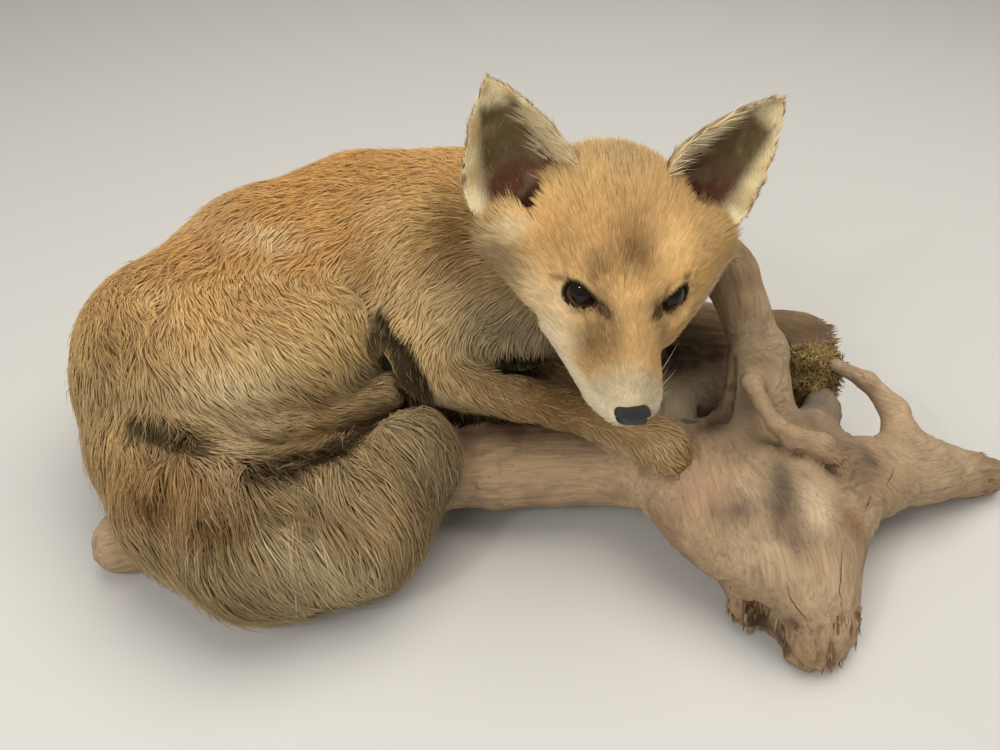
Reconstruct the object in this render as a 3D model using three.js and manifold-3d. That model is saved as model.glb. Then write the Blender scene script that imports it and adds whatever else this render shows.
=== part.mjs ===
// A taxidermy young red fox, life size, curled up on a piece of driftwood root.
// Millimetres, +Z up. +X runs from the rump to the broken spike of the root, -Y is the side that
// the fox's face and tail are on, and the origin is on the floor under the middle of the model.
//
// Every fleshy part and every branch of the root is a distance function: a function of a point that
// gives the distance to the part's surface, negative inside. The parts are blended into one body and
// one root, then each node takes the share of the body that lies nearest to its own part.

import * as THREE from 'three'
import { mergeVertices } from 'three/addons/utils/BufferGeometryUtils.js'
import Module from 'manifold-3d'

const wasm = await Module()
wasm.setup()

// ---------------------------------------------------------------- driving sizes
const ORIGIN = new THREE.Vector3(32, 431, 0) // bench point of the origin of the model
const GAP = 1.0                  // clearance left between two shares of one body
const FIT = 0.35                 // least clearance between any two solids
const SLIVER = 0.2               // mesh detail finer than this is left out
const HEAD_AT = [60, 362, 165]   // middle of the line between the eyes
const HEAD_TURN = { yaw: 5, pitch: 18, roll: 6 } // degrees, nose down 18
const EYE_RADIUS = 9
const EYE_OUT = 20.3             // sideways from the middle of the face
const NOSE_AT = [-2.5, -54, -18.5]
const NOSE_SIZE = [8.5, 6.5, 7]
const EAR_EDGE = 2.6             // thickness of the ear at its tip, coat included
const EAR_ROOT = 4.6             // thickness of the ear at its root
const CLAW_LENGTH = 8
const CLAW_RADIUS = 1.7

// Mesh cell of each node: about a third of the radius of the thinnest thing in it.
const CELL = {
  trunk: 20.5, neck: 19, shoulder_right: 18, shoulder_left: 17, thigh_right: 19.5, thigh_left: 20, head: 10.4,
  hind_foot_right: 11.5, hind_foot_left: 12, foreleg_right: 10, foreleg_left: 11,
  tail_base: 19, tail_middle: 19, tail_end: 18,
  root_stem: 18.5, root_hub: 16.5, root_lobe: 15.5, root_prong: 9, root_spike: 16, root_arch_front: 12,
  root_arch_back: 12, root_under: 19.5, root_moss: 13, root_loop: 6.8, root_twig: 6
}

// ---------------------------------------------------------------- vectors
const add = (a, b, t = 1) => [a[0] + b[0] * t, a[1] + b[1] * t, a[2] + b[2] * t]
const sub = (a, b) => [a[0] - b[0], a[1] - b[1], a[2] - b[2]]
const dot = (a, b) => a[0] * b[0] + a[1] * b[1] + a[2] * b[2]
const len = a => Math.sqrt(dot(a, a))
const unit = a => a.map(v => v / len(a))
const cross = (a, b) => [a[1] * b[2] - a[2] * b[1], a[2] * b[0] - a[0] * b[2], a[0] * b[1] - a[1] * b[0]]
const clamp = (v, lo, hi) => Math.min(hi, Math.max(lo, v))

// ---------------------------------------------------------------- shapes
// A tapered limb with round ends, between two stations [x, y, z, radius].
function limb(a, b) {
  const axis = sub(b, a)
  const l2 = dot(axis, axis)
  return p => {
    const pa = sub(p, a)
    const t = clamp(dot(pa, axis) / l2, 0, 1)
    return len(add(pa, axis, -t)) - (a[3] + t * (b[3] - a[3]))
  }
}

// Two shapes blended: a fillet about as wide as k fills the corner between them.
function smooth(a, b, k) {
  const h = Math.max(k - Math.abs(a - b), 0) / k
  return Math.min(a, b) - h * h * k * 0.25
}

// A run of limbs through several stations.
function chain(stations, k) {
  const limbs = stations.slice(1).map((b, i) => limb(stations[i], b))
  return p => limbs.map(f => f(p)).reduce((a, b) => smooth(a, b, k))
}

// An ellipsoid.
function blob(centre, r) {
  return p => {
    const q = sub(p, centre)
    const k0 = Math.hypot(q[0] / r[0], q[1] / r[1], q[2] / r[2])
    const k1 = Math.hypot(q[0] / r[0] ** 2, q[1] / r[1] ** 2, q[2] / r[2] ** 2)
    return k0 * (k0 - 1) / (k1 + 1e-9)
  }
}

const ball = (centre, r) => p => len(sub(p, centre)) - r
const carve = (a, b, k) => -smooth(-a, b, k)
const mirrored = p => [Math.abs(p[0]), p[1], p[2]]

// ---------------------------------------------------------------- head frame
// Head coordinates: x to the fox's left, y backwards, z up, from the middle of the eye line.
const turn = new THREE.Matrix4()
  .makeRotationZ(THREE.MathUtils.degToRad(HEAD_TURN.yaw))
  .multiply(new THREE.Matrix4().makeRotationX(THREE.MathUtils.degToRad(HEAD_TURN.pitch)))
  .multiply(new THREE.Matrix4().makeRotationY(THREE.MathUtils.degToRad(HEAD_TURN.roll)))
const axes = [new THREE.Vector3(), new THREE.Vector3(), new THREE.Vector3()]
turn.extractBasis(...axes)
const headAxes = axes.map(v => v.toArray())
const toHead = p => headAxes.map(a => dot(a, sub(p, HEAD_AT)))
const fromHead = q => headAxes.reduce((sum, a, i) => add(sum, a, q[i]), HEAD_AT)

// ---------------------------------------------------------------- head
const skull = blob([0, 50, -3], [46, 46, 40])
const brow = blob([0, 16, 0], [30, 26, 20])
const cheek = limb([46, 45, -11, 23], [15, 0, -18, 17])
const muzzle = chain([[-1, -2, -15, 20], [-2, -28, -20, 16.5], [-3, -46, -22, 12]], 8)
const lips = blob([8, -38, -24], [8.5, 15, 9.5])
const jaw = chain([[0, 28, -32, 20], [0, -14, -32, 12], [-1, -38, -31, 8]], 8)
const flew = limb([-27, -2, -23, 10], [-12, -37, -26, 8.5])
const eyePlaces = [-1, 1].map(side => [side * EYE_OUT, 4, -2])

function head(p) {
  const q = toHead(p)
  const m = mirrored(q)
  let d = smooth(skull(q), brow(q), 16)
  d = smooth(d, cheek(m), 22)
  d = smooth(d, muzzle(q), 12)
  d = smooth(d, lips(m), 6)
  d = smooth(d, jaw(q), 10)
  // the fox's right cheek is fuller
  d = smooth(d, flew(q), 8)
  for (const side of [-1, 1]) {
    // a shallow dish round each eye
    const look = unit([0.42 * side, -0.88, 0.12])
    const dish = blob(add([23 * side, 4, 0], look, 9), [10.5, 8, 7.5])
    d = carve(d, dish(q), 5)
  }
  return d
}

// ---------------------------------------------------------------- body, legs and tail
const trunk = chain([[-184, 440, 74, 60], [-146, 500, 82, 60], [-88, 530, 90, 62], [-30, 512, 104, 57]], 20)
const neckTube = chain([[-30, 512, 106, 52], [10, 474, 130, 46], [45, 428, 152, 42]], 20)
const chest = chain([[-20, 470, 95, 42], [10, 438, 100, 34]], 10)
const neck = p => smooth(neckTube(p), chest(p), 25)

const haunch = limb([-196, 420, 80, 50], [-108, 438, 78, 38])
const haunchFront = blob([-150, 412, 76], [60, 35, 42])
const thighRight = p => smooth(haunch(p), haunchFront(p), 15)
const footRight = chain([[-180, 385, 60, 22], [-120, 392, 56, 18], [-70, 424, 54, 14]], 6)
const thighLeft = limb([-170, 480, 50, 50], [-104, 536, 42, 40])
const footLeft = chain([[-140, 565, 20, 18], [-80, 582, 15, 14], [-34, 574, 13, 12]], 6)

const shoulderRight = limb([-42, 475, 112, 44], [-40, 418, 84, 26])
const shoulderLeft = limb([-2, 512, 84, 36], [12, 478, 58, 20])

// The toes fan out in front of a paw; ahead is where the paw points.
function toes(paw, ahead, spread, r) {
  const side = unit(cross(ahead, [0, 0, 1]))
  const balls = [-1.5, -0.5, 0.5, 1.5].map(i =>
    ball(add(add(paw, ahead, 9 - Math.abs(i)), side, i * spread), r))
  return p => Math.min(...balls.map(f => f(p)))
}

const PAWS = {
  foreleg_right: { at: [89, 357, 71], ahead: unit([0.72, -0.55, -0.32]), spread: 6 },
  foreleg_left: { at: [66, 446, 42], ahead: unit([0.97, -0.1, -0.1]), spread: 5.5 },
  hind_foot_right: { at: [-74, 421, 54], ahead: unit([0.85, 0.45, -0.1]), spread: 5.5 },
  hind_foot_left: { at: [-36, 574, 13], ahead: unit([0.97, -0.2, 0]), spread: 5.5 }
}
const toesOf = name => toes(PAWS[name].at, PAWS[name].ahead, PAWS[name].spread, 5.8)

const armRight = chain([[-42, 407, 78, 18], [11, 391, 77, 13.5], [34, 385, 76, 13], [57, 374, 75, 12.5],
  [78, 363, 74, 13.5], [88, 357, 71, 15]], 5)
const armLeft = chain([[-5, 460, 62, 18], [40, 452, 50, 12], [66, 446, 43, 12]], 5)
const withToes = (leg, name) => {
  const t = toesOf(name)
  return p => smooth(leg(p), t(p), 5)
}
const forelegRight = withToes(armRight, 'foreleg_right')
const forelegLeft = withToes(armLeft, 'foreleg_left')
const hindFootRight = withToes(footRight, 'hind_foot_right')
const hindFootLeft = withToes(footLeft, 'hind_foot_left')

const TAIL = [[-212, 404, 70, 34], [-190, 368, 56, 35], [-160, 334, 48, 40], [-120, 314, 46, 43],
  [-78, 325, 48, 41], [-54, 356, 60, 36]]
const tail = chain(TAIL, 14)
const TAIL_CUTS = [2, 4]         // stations where the tail is divided into lengths

// The whole fox. The number is how softly each part runs into the ones before it.
const FOX = [
  ['trunk', trunk, 0], ['neck', neck, 30], ['shoulder_right', shoulderRight, 25],
  ['thigh_right', thighRight, 18], ['thigh_left', thighLeft, 25], ['shoulder_left', shoulderLeft, 20],
  ['head', head, 24], ['hind_foot_right', hindFootRight, 6], ['hind_foot_left', hindFootLeft, 6],
  ['foreleg_right', forelegRight, 8], ['foreleg_left', forelegLeft, 6], ['tail', tail, 8]
]

// ---------------------------------------------------------------- driftwood root
const stem = chain([[-206, 335, 18, 17], [-120, 362, 30, 24], [0, 379, 38, 24], [70, 378, 42, 26]], 10)
const hubTop = blob([142, 352, 42], [62, 56, 32])
const hubPlate = chain([[100, 385, 40, 16], [104, 422, 38, 15], [103, 446, 37, 13], [138, 438, 44, 16]], 8)
const hub = p => smooth(hubTop(p), hubPlate(p), 12)
const lobe = chain([[148, 335, 46, 32], [154, 305, 28, 30], [162, 285, 14, 20]], 8)
const prong = chain([[138, 325, 38, 22], [131, 300, 14, 11]], 8)
const spike = chain([[185, 362, 38, 28], [242, 385, 31, 20], [296, 400, 13, 14]], 8)
const archFront = chain([[148, 390, 55, 24], [146, 413, 95, 15], [130, 440, 130, 15], [112, 458, 146, 14]], 6)
const archBack = chain([[112, 462, 142, 12], [92, 490, 80, 16]], 6)
const underRoot = chain([[188, 462, 62, 22], [120, 480, 56, 24], [10, 508, 42, 26], [-48, 520, 24, 24]], 8)
const loopRoot = chain([[202, 434, 70, 3.5], [219, 424, 66, 5], [234, 411, 54, 8], [236, 392, 42, 13]], 4)
const twig = chain([[140, 400, 86, 6], [138, 388, 91, 5], [140, 372, 90, 4], [144, 358, 88, 4.5],
  [152, 348, 87, 5.5], [166, 346, 84, 6], [174, 341, 79, 4.5]], 3)
const moss = blob([189, 444, 55], [25, 20, 27])

const ROOT = [
  ['root_stem', stem, 0], ['root_hub', hub, 20], ['root_lobe', lobe, 18], ['root_prong', prong, 8],
  ['root_spike', spike, 18], ['root_arch_front', archFront, 12], ['root_arch_back', archBack, 12],
  ['root_under', underRoot, 10], ['root_moss', moss, 6], ['root_loop', loopRoot, 8], ['root_twig', twig, 4]
]

const blend = parts => p => parts.reduce((d, [, f, k]) => d === null ? f(p) : smooth(d, f(p), k), null)
const fox = blend(FOX)
const root = blend(ROOT)
const aboveFloor = p => -p[2]

// ---------------------------------------------------------------- meshing
// The twelve edges of a grid cell that the surface crosses fall into one loop for each sheet of the
// surface in the cell. Each loop gets one vertex, at the mean of its crossings, and each crossed grid
// edge gets the quad of the vertices of its four cells.
const STEP = [[1, 0, 0], [0, 1, 0], [0, 0, 1]]
const corners = [0, 1, 2, 3, 4, 5, 6, 7].map(c => [c & 1, c >> 1 & 1, c >> 2])
const cellFaces = [0, 1, 2].flatMap(axis => [0, 1].map(side => {
  const u = 1 << (axis + 1) % 3
  const v = 1 << (axis + 2) % 3
  const base = side << axis
  return [base, base + u, base + u + v, base + v]
}))
const edgeName = (a, b) => Math.min(a, b) * 8 + Math.max(a, b)

// Which loop each crossed edge of a cell belongs to, from the values at its eight corners.
function loopsOf(values) {
  const loop = new Map()
  const join = (a, b) => {
    const from = loop.get(b) ?? b
    const to = loop.get(a) ?? a
    loop.set(a, to)
    loop.set(b, to)
    for (const [edge, name] of loop) if (name === from) loop.set(edge, to)
  }
  for (const face of cellFaces) {
    const inside = face.map(c => values[c] < 0)
    const edges = face.map((c, i) => edgeName(c, face[(i + 1) % 4]))
    const crossed = edges.filter((_, i) => inside[i] !== inside[(i + 1) % 4])
    if (crossed.length === 2) join(...crossed)
    if (crossed.length === 4)
      for (let i = 0; i < 4; i++) if (inside[i]) join(edges[i], edges[(i + 3) % 4])
  }
  return loop
}

function meshOf(value, lo, hi, cell) {
  const n = lo.map((v, i) => Math.ceil((hi[i] - v) / cell) + 1)
  const at = (i, j, k) => i + n[0] * (j + n[1] * k)
  const grid = new Float64Array(n[0] * n[1] * n[2])
  const place = (i, j, k) => [lo[0] + i * cell, lo[1] + j * cell, lo[2] + k * cell]
  for (let k = 0; k < n[2]; k++)
    for (let j = 0; j < n[1]; j++)
      for (let i = 0; i < n[0]; i++) grid[at(i, j, k)] = value(place(i, j, k))

  const points = []
  const cells = new Map()
  function vertexOf(origin, edge) {
    const key = at(...origin)
    if (!cells.has(key)) {
      const values = corners.map(c => grid[at(...add(origin, c))])
      const loops = loopsOf(values)
      const vertices = new Map()
      for (const name of new Set(loops.values())) {
        const own = [...loops.keys()].filter(e => loops.get(e) === name)
        const crossings = own.map(e => {
          const [a, b] = [e >> 3, e & 7]
          const t = values[a] / (values[a] - values[b])
          return place(...add(add(origin, corners[a]), sub(corners[b], corners[a]), t))
        })
        const mean = crossings.reduce((sum, p) => add(sum, p, 1 / crossings.length), [0, 0, 0])
        for (const e of own) vertices.set(e, points.length)
        points.push(settle(value, mean, cell))
      }
      cells.set(key, vertices)
    }
    return cells.get(key).get(edge)
  }

  const faces = []
  for (let k = 1; k < n[2] - 1; k++)
    for (let j = 1; j < n[1] - 1; j++)
      for (let i = 1; i < n[0] - 1; i++)
        for (let axis = 0; axis < 3; axis++) {
          const here = [i, j, k]
          const inside = grid[at(...here)] < 0
          if (inside === grid[at(...add(here, STEP[axis]))] < 0) continue
          const u = (axis + 1) % 3
          const v = (axis + 2) % 3
          const quad = [[1, 1], [0, 1], [0, 0], [1, 0]].map(([s, t]) => {
            const a = (s << u) + (t << v)
            return vertexOf(add(add(here, STEP[u], -s), STEP[v], -t), edgeName(a, a + (1 << axis)))
          })
          const [a, b, c, d] = inside ? quad : quad.reverse()
          const short = len(sub(points[a], points[c])) <= len(sub(points[b], points[d]))
          faces.push(...short ? [[a, b, c], [a, c, d]] : [[a, b, d], [b, c, d]])
        }
  return { points, faces }
}

// Moves a vertex onto the surface itself along the distance's slope.
function settle(value, start, cell) {
  let p = start
  for (let turnCount = 0; turnCount < 3; turnCount++) {
    const v = value(p)
    const h = 0.3
    const slope = [0, 1, 2].map(i => {
      const e = [0, 0, 0]
      e[i] = h
      return (value(add(p, e)) - value(sub(p, e))) / (2 * h)
    })
    const s2 = dot(slope, slope)
    if (s2 < 0.05) break
    p = add(p, slope, clamp(-v / s2, -cell / 4, cell / 4))
  }
  return len(sub(p, start)) < cell * 0.45 ? p : start
}

// The points of a coarse scan of the whole bench that lie inside a body or one step from it.
const SCAN = 9
function scanOf(body) {
  const found = []
  for (let x = -270; x < 330; x += SCAN)
    for (let y = 240; y < 620; y += SCAN)
      for (let z = -8; z < 270; z += SCAN) if (body([x, y, z]) < SCAN) found.push([x, y, z])
  return found
}

// The box round the place where a distance function is negative, with a margin.
function boxOf(value, scan, cell) {
  const near = scan.filter(p => value(p) < SCAN)
  const margin = 1.37 * cell
  const lo = [0, 1, 2].map(i => near.reduce((v, p) => Math.min(v, p[i]), Infinity) - margin)
  const hi = [0, 1, 2].map(i => near.reduce((v, p) => Math.max(v, p[i]), -Infinity) + margin)
  return [lo, hi]
}

function geometryOf({ points, faces }) {
  const geometry = new THREE.BufferGeometry()
  geometry.setAttribute('position', new THREE.Float32BufferAttribute(points.flat(), 3))
  geometry.setIndex(faces.flat())
  geometry.computeVertexNormals()
  return geometry
}

// ---------------------------------------------------------------- solids for joins and cuts
const manifold = (positions, triangles) => new wasm.Manifold(new wasm.Mesh({
  numProp: 3,
  vertProperties: new Float32Array(positions),
  triVerts: new Uint32Array(triangles)
}))

function solidOf(geometry) {
  const bare = geometry.clone()
  bare.deleteAttribute('normal')
  bare.deleteAttribute('uv')
  const merged = mergeVertices(bare, 1e-4)
  return manifold(merged.attributes.position.array, merged.index.array)
}

// A copy of a mesh with every vertex moved out by a clearance.
function grownOf({ points, faces }, clearance) {
  const normals = points.map(() => [0, 0, 0])
  for (const [a, b, c] of faces) {
    const across = cross(sub(points[b], points[a]), sub(points[c], points[a]))
    for (const i of [a, b, c]) normals[i] = add(normals[i], across)
  }
  return manifold(points.flatMap((p, i) => add(p, unit(normals[i]), clearance)), faces.flat())
}

function pointsAndFaces(solid) {
  const mesh = solid.getMesh()
  const points = []
  for (let i = 0; i < mesh.vertProperties.length; i += 3)
    points.push([...mesh.vertProperties.slice(i, i + 3)])
  const faces = []
  for (let i = 0; i < mesh.triVerts.length; i += 3) faces.push([...mesh.triVerts.slice(i, i + 3)])
  return { points, faces }
}

// The largest piece of a solid, as a geometry, without the slivers that a cut leaves.
function geometryFrom(solid) {
  const pieces = solid.decompose().sort((a, b) => b.volume() - a.volume())
  return geometryOf(pointsAndFaces(pieces[0].simplify(SLIVER)))
}

// ---------------------------------------------------------------- ears
// An ear is a leaf-shaped shell: base and tip in head coordinates, the side that it opens to, its
// half width and how deep it is cupped.
const EARS = {
  ear_right: { base: [-45, 50, 8], tip: [-68, 84, 53], opens: [-0.25, -0.85, 0.45], width: 30, cup: 17 },
  ear_left: { base: [42, 50, 13], tip: [77, 80, 56], opens: [0.25, -0.85, 0.45], width: 30, cup: 17 }
}
const EAR_FOOT = -0.3            // how far the ear runs down into the head, as a share of its height

function earWidth(u, width) {
  if (u <= 0.15) return width * 0.97 * Math.sqrt(1 - clamp((0.15 - u) / 0.5, 0, 0.98) ** 2) + 0.6
  return width * (1 - clamp((u - 0.1) / 0.9, 0, 1) ** 1.5) ** 0.8 + 0.6
}

function earSolid(ear) {
  const axis = sub(ear.tip, ear.base)
  const height = len(axis)
  const up = unit(axis)
  const across = unit(cross(up, ear.opens))
  const out = cross(across, up)
  const rows = 8
  const columns = 6
  const points = []
  for (const side of [-1, 1]) {
    for (let i = 0; i <= rows; i++) {
      const u = EAR_FOOT + (1 - EAR_FOOT) * i / rows
      const half = earWidth(u, ear.width)
      const cup = ear.cup * half / ear.width
      const thick = (EAR_ROOT + (EAR_EDGE - EAR_ROOT) * Math.max(u, 0)) / 2
      for (let j = 0; j <= columns; j++) {
        const s = 2 * j / columns - 1
        const lean = 2 * cup * s / half
        const norm = Math.hypot(lean, 1)
        let q = add(ear.base, up, u * height)
        q = add(q, across, s * half - side * thick * lean / norm)
        q = add(q, out, -cup * (1 - s * s) + side * thick / norm)
        points.push(fromHead(q))
      }
    }
  }
  const layer = (rows + 1) * (columns + 1)
  const id = (side, i, j) => side * layer + i * (columns + 1) + j
  const faces = []
  const quad = (a, b, c, d) => faces.push([a, b, c], [a, c, d])
  for (let i = 0; i < rows; i++) {
    for (let j = 0; j < columns; j++) {
      quad(id(1, i, j), id(1, i, j + 1), id(1, i + 1, j + 1), id(1, i + 1, j))
      quad(id(0, i, j), id(0, i + 1, j), id(0, i + 1, j + 1), id(0, i, j + 1))
    }
    quad(id(0, i, 0), id(1, i, 0), id(1, i + 1, 0), id(0, i + 1, 0))
    quad(id(0, i, columns), id(0, i + 1, columns), id(1, i + 1, columns), id(1, i, columns))
  }
  for (let j = 0; j < columns; j++) {
    quad(id(0, 0, j), id(0, 0, j + 1), id(1, 0, j + 1), id(1, 0, j))
    quad(id(0, rows, j), id(1, rows, j), id(1, rows, j + 1), id(0, rows, j + 1))
  }
  const solid = manifold(points.flat(), faces.flat())
  if (solid.volume() > 0) return solid
  return manifold(points.flat(), faces.flatMap(f => [...f].reverse()))
}

// ---------------------------------------------------------------- eyes, nose, claws
const inHeadFrame = (geometry, q) => {
  geometry.applyMatrix4(turn)
  geometry.translate(...fromHead(q))
  return geometry
}
const eyeGeometry = (place, r) => inHeadFrame(new THREE.SphereGeometry(r, 14, 10), place)
const noseGeometry = () => inHeadFrame(new THREE.SphereGeometry(1, 12, 8).scale(...NOSE_SIZE), NOSE_AT)

function clawGeometry(from, along) {
  const claw = new THREE.ConeGeometry(CLAW_RADIUS, CLAW_LENGTH, 6)
  const aim = new THREE.Quaternion().setFromUnitVectors(new THREE.Vector3(0, 1, 0), new THREE.Vector3(...along))
  claw.applyQuaternion(aim)
  claw.translate(...add(from, along, CLAW_LENGTH / 2 - 2))
  return claw
}

function clawsOf(name) {
  const { at, ahead, spread } = PAWS[name]
  const side = unit(cross(ahead, [0, 0, 1]))
  const down = unit(add(ahead, [0, 0, -1], 0.35))
  return [-1.5, -0.5, 0.5, 1.5].map(i => {
    const tip = add(add(at, ahead, 13.5 - Math.abs(i)), side, i * spread)
    return clawGeometry(add(tip, [0, 0, -1]), down)
  })
}

// ---------------------------------------------------------------- nodes
const COLOUR = { coat: 0xc9a06a, tail: 0xb3966c, eye: 0x2a1810, nose: 0x2f3134, wood: 0xb08a68, moss: 0x7a6a3c }
const materialOf = (colour, roughness) => new THREE.MeshStandardMaterial({ color: colour, roughness, metalness: 0 })
const group = new THREE.Group()
group.position.copy(ORIGIN).negate()

function place(name, geometry, colour, roughness) {
  const mesh = new THREE.Mesh(geometry, materialOf(colour, roughness))
  mesh.name = name
  group.add(mesh)
}

// A node's share of a blended body: the points of the body that are nearer to its part than to any
// other part, less half the clearance.
function shareOf(parts, body, name, limit) {
  const own = parts.find(part => part[0] === name)[1]
  const others = parts.filter(part => part[0] !== name).map(part => part[1])
  return p => {
    const depth = body(p)
    if (depth > 40) return depth
    const nearest = others.reduce((d, f) => Math.min(d, f(p)), Infinity)
    return Math.max(depth, (own(p) - nearest + GAP) / 2, limit(p), aboveFloor(p))
  }
}

const foxScan = scanOf(fox)
const rootScan = scanOf(root)

// The solid of a distance function, cut clear of the solids made before it. A copy grown by the
// clearance is kept for the solids that come after it.
const grownSolids = []
function shapeOf(value, scan, cell, join = solid => solid) {
  for (let size = cell; size > cell / 2; size *= 0.97) {
    const { points, faces } = meshOf(value, ...boxOf(value, scan, size), size)
    let solid = manifold(points.flat(), faces.flat())
    for (const other of grownSolids) solid = solid.subtract(other)
    const geometry = geometryFrom(join(solid))
    if (pinched(geometry)) continue
    grownSolids.push(grownOf({ points, faces }, FIT))
    return geometry
  }
}

// True where two sheets of a mesh touch along an edge, which a slightly finer grid keeps apart.
function pinched(geometry) {
  const { array } = geometry.attributes.position
  const corner = i => [0, 1, 2].map(k => array[3 * i + k].toFixed(4)).join()
  const seen = new Set()
  const { array: index } = geometry.index
  for (let f = 0; f < index.length; f += 3) {
    const [a, b, c] = [0, 1, 2].map(i => corner(index[f + i]))
    if (a === b || b === c || c === a) continue
    for (const edge of [a + ' ' + b, b + ' ' + c, c + ' ' + a]) {
      if (seen.has(edge)) return true
      seen.add(edge)
    }
  }
  return false
}

// The coat stays clear of the wood that it lies on.
const offWood = p => GAP - root(p)

// A tail length lies between two planes that halve the bends.
function tailCut(i, side) {
  const ahead = unit(sub(TAIL[i + 1], TAIL[i - 1]))
  return p => side * dot(sub(p, TAIL[i]), ahead) + GAP / 2
}

// The eyes, the nose and the ears go in first, so the head is cut to take them. An ear's slot runs
// on a little below its foot.
for (const feature of [...eyePlaces.map(at => solidOf(eyeGeometry(at, EYE_RADIUS))), solidOf(noseGeometry())])
  grownSolids.push(grownOf(pointsAndFaces(feature), FIT))
for (const ear of Object.values(EARS)) {
  const { points, faces } = pointsAndFaces(earSolid(ear))
  const down = unit(sub(fromHead(ear.base), fromHead(ear.tip)))
  const lower = points.map(p => add(p, down, 2 * FIT))
  grownSolids.push(grownOf({ points, faces }, 2 * FIT).add(grownOf({ points: lower, faces }, 2 * FIT)))
}

for (const [name, , ] of FOX) {
  if (name === 'tail') continue
  const claws = PAWS[name] ? clawsOf(name).map(solidOf) : []
  const join = solid => claws.reduce((sum, claw) => sum.add(claw), solid)
  place(name, shapeOf(shareOf(FOX, fox, name, offWood), foxScan, CELL[name], join), COLOUR.coat, 0.9)
  for (const claw of claws) grownSolids.push(grownOf(pointsAndFaces(claw), FIT))
}

const tailLimits = {
  tail_base: [tailCut(TAIL_CUTS[0], 1)],
  tail_middle: [tailCut(TAIL_CUTS[0], -1), tailCut(TAIL_CUTS[1], 1)],
  tail_end: [tailCut(TAIL_CUTS[1], -1)]
}
for (const [name, cuts] of Object.entries(tailLimits)) {
  const limit = p => Math.max(offWood(p), ...cuts.map(cut => cut(p)))
  place(name, shapeOf(shareOf(FOX, fox, 'tail', limit), foxScan, CELL[name]), COLOUR.tail, 0.95)
}

for (const [name, ear] of Object.entries(EARS))
  place(name, geometryFrom(earSolid(ear)), COLOUR.coat, 0.9)
place('eye_right', eyeGeometry(eyePlaces[0], EYE_RADIUS), COLOUR.eye, 0.1)
place('eye_left', eyeGeometry(eyePlaces[1], EYE_RADIUS), COLOUR.eye, 0.1)
place('nose', noseGeometry(), COLOUR.nose, 0.5)

for (const [name] of ROOT) {
  const limit = p => -Infinity
  const colour = name === 'root_moss' ? COLOUR.moss : COLOUR.wood
  place(name, shapeOf(shareOf(ROOT, root, name, limit), rootScan, CELL[name]), colour, 0.85)
}

export default group
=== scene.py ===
"""A taxidermy young red fox on a driftwood root: skin, coat, eyes, nose, claws, whiskers and wood.

The shapes are distance functions on a bench in millimetres, the same ones that the solids were made
from. ORIGIN is the bench point of the frame's origin, and metres() takes bench points to the frame.
Arrays of points are n by 3; a distance is negative inside.
"""
import math

import bpy
import numpy as np
from mathutils import Matrix
from mathutils.kdtree import KDTree


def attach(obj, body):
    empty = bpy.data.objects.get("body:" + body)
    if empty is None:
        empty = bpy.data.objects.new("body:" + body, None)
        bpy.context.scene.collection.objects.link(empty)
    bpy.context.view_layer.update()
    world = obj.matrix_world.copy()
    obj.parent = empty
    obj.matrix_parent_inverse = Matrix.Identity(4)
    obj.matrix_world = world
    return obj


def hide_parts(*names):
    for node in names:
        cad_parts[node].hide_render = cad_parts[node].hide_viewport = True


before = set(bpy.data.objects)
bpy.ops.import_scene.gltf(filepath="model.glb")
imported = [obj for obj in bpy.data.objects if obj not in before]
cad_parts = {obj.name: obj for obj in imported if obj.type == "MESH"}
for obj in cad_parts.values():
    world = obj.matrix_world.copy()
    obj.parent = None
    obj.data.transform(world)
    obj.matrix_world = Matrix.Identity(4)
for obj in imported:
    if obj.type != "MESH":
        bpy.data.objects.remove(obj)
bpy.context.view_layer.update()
random = np.random.default_rng(11)

# ---------------------------------------------------------------- driving sizes, millimetres
ORIGIN = np.array([32, 431, 0], np.float32)
HEAD_AT = np.array([60, 362, 165], np.float32)   # middle of the line between the eyes
HEAD_TURN = (5, 18, 6)                           # yaw, pitch and roll in degrees
EYE_RADIUS = 9.0
EYE_OUT = 20.3                                   # from the middle of the head to an eye's middle
BODY_CELL = 3.0                                  # grids that the surfaces are drawn from
HEAD_CELL = 1.4
WOOD_CELL = 1.5
MOSS_CELL = 1.8
NOSE_CELL = 0.42
STEER_CELL = 4.0                                 # grid that steers the long hair
SKIN_BOX = ((-256, 168), (255, 610), (-4, 262))  # boxes on the bench: ends on each axis
FINE_BOX = ((-22, 150), (300, 462), (112, 262))  # round the head, where the skin's grid is finer
STEER_BOX = ((-262, 172), (250, 616), (-12, 262))
WOOD_BOX = ((-250, 326), (262, 552), (-4, 172))
MOSS_BOX = ((158, 222), (416, 472), (22, 90))
NOSE_BOX = ((-14, 9), (-66, -44), (-28, -9))     # in head coordinates
PATCH = 0.003                                    # a tuft's patch on its OFBake map
MOST_TRIANGLES = 190000                          # in one coat piece

# Colours, linear.
GINGER = (0.60, 0.345, 0.125)
SAND = (0.58, 0.395, 0.168)
CREAM = (0.76, 0.61, 0.36)
BUFF = (0.30, 0.215, 0.105)
RUST = (0.42, 0.20, 0.065)
BROWN = (0.20, 0.11, 0.045)
GREY = (0.33, 0.285, 0.205)
DARK = (0.035, 0.022, 0.012)
# Painted shade in the deep gaps between the parts of the body.
GAP_SHADE = (0.035, 0.021, 0.009)
FACE_GOLD = (0.66, 0.42, 0.17)
FACE_GINGER = (0.58, 0.35, 0.125)
CHEEK = (0.70, 0.57, 0.34)
# Dark tear marks, and painted shade in the folds from the eyes' outer corners.
EYE_LINE_AND_FOLD_SHADE = (0.075, 0.04, 0.018)
MUZZLE_END = (0.56, 0.475, 0.315)
LIPS = (0.82, 0.72, 0.52)
# The dark skin of the lip line, and painted shade in the face's other grooves.
LIP_LINE_AND_FOLD_SHADE = (0.10, 0.06, 0.03)
# Painted shade in the hole at the foot of each ear.
EAR_HOLE_SHADE = (0.06, 0.022, 0.012)


def metres(p):
    return (np.asarray(p, float) - ORIGIN) / 1000


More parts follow.
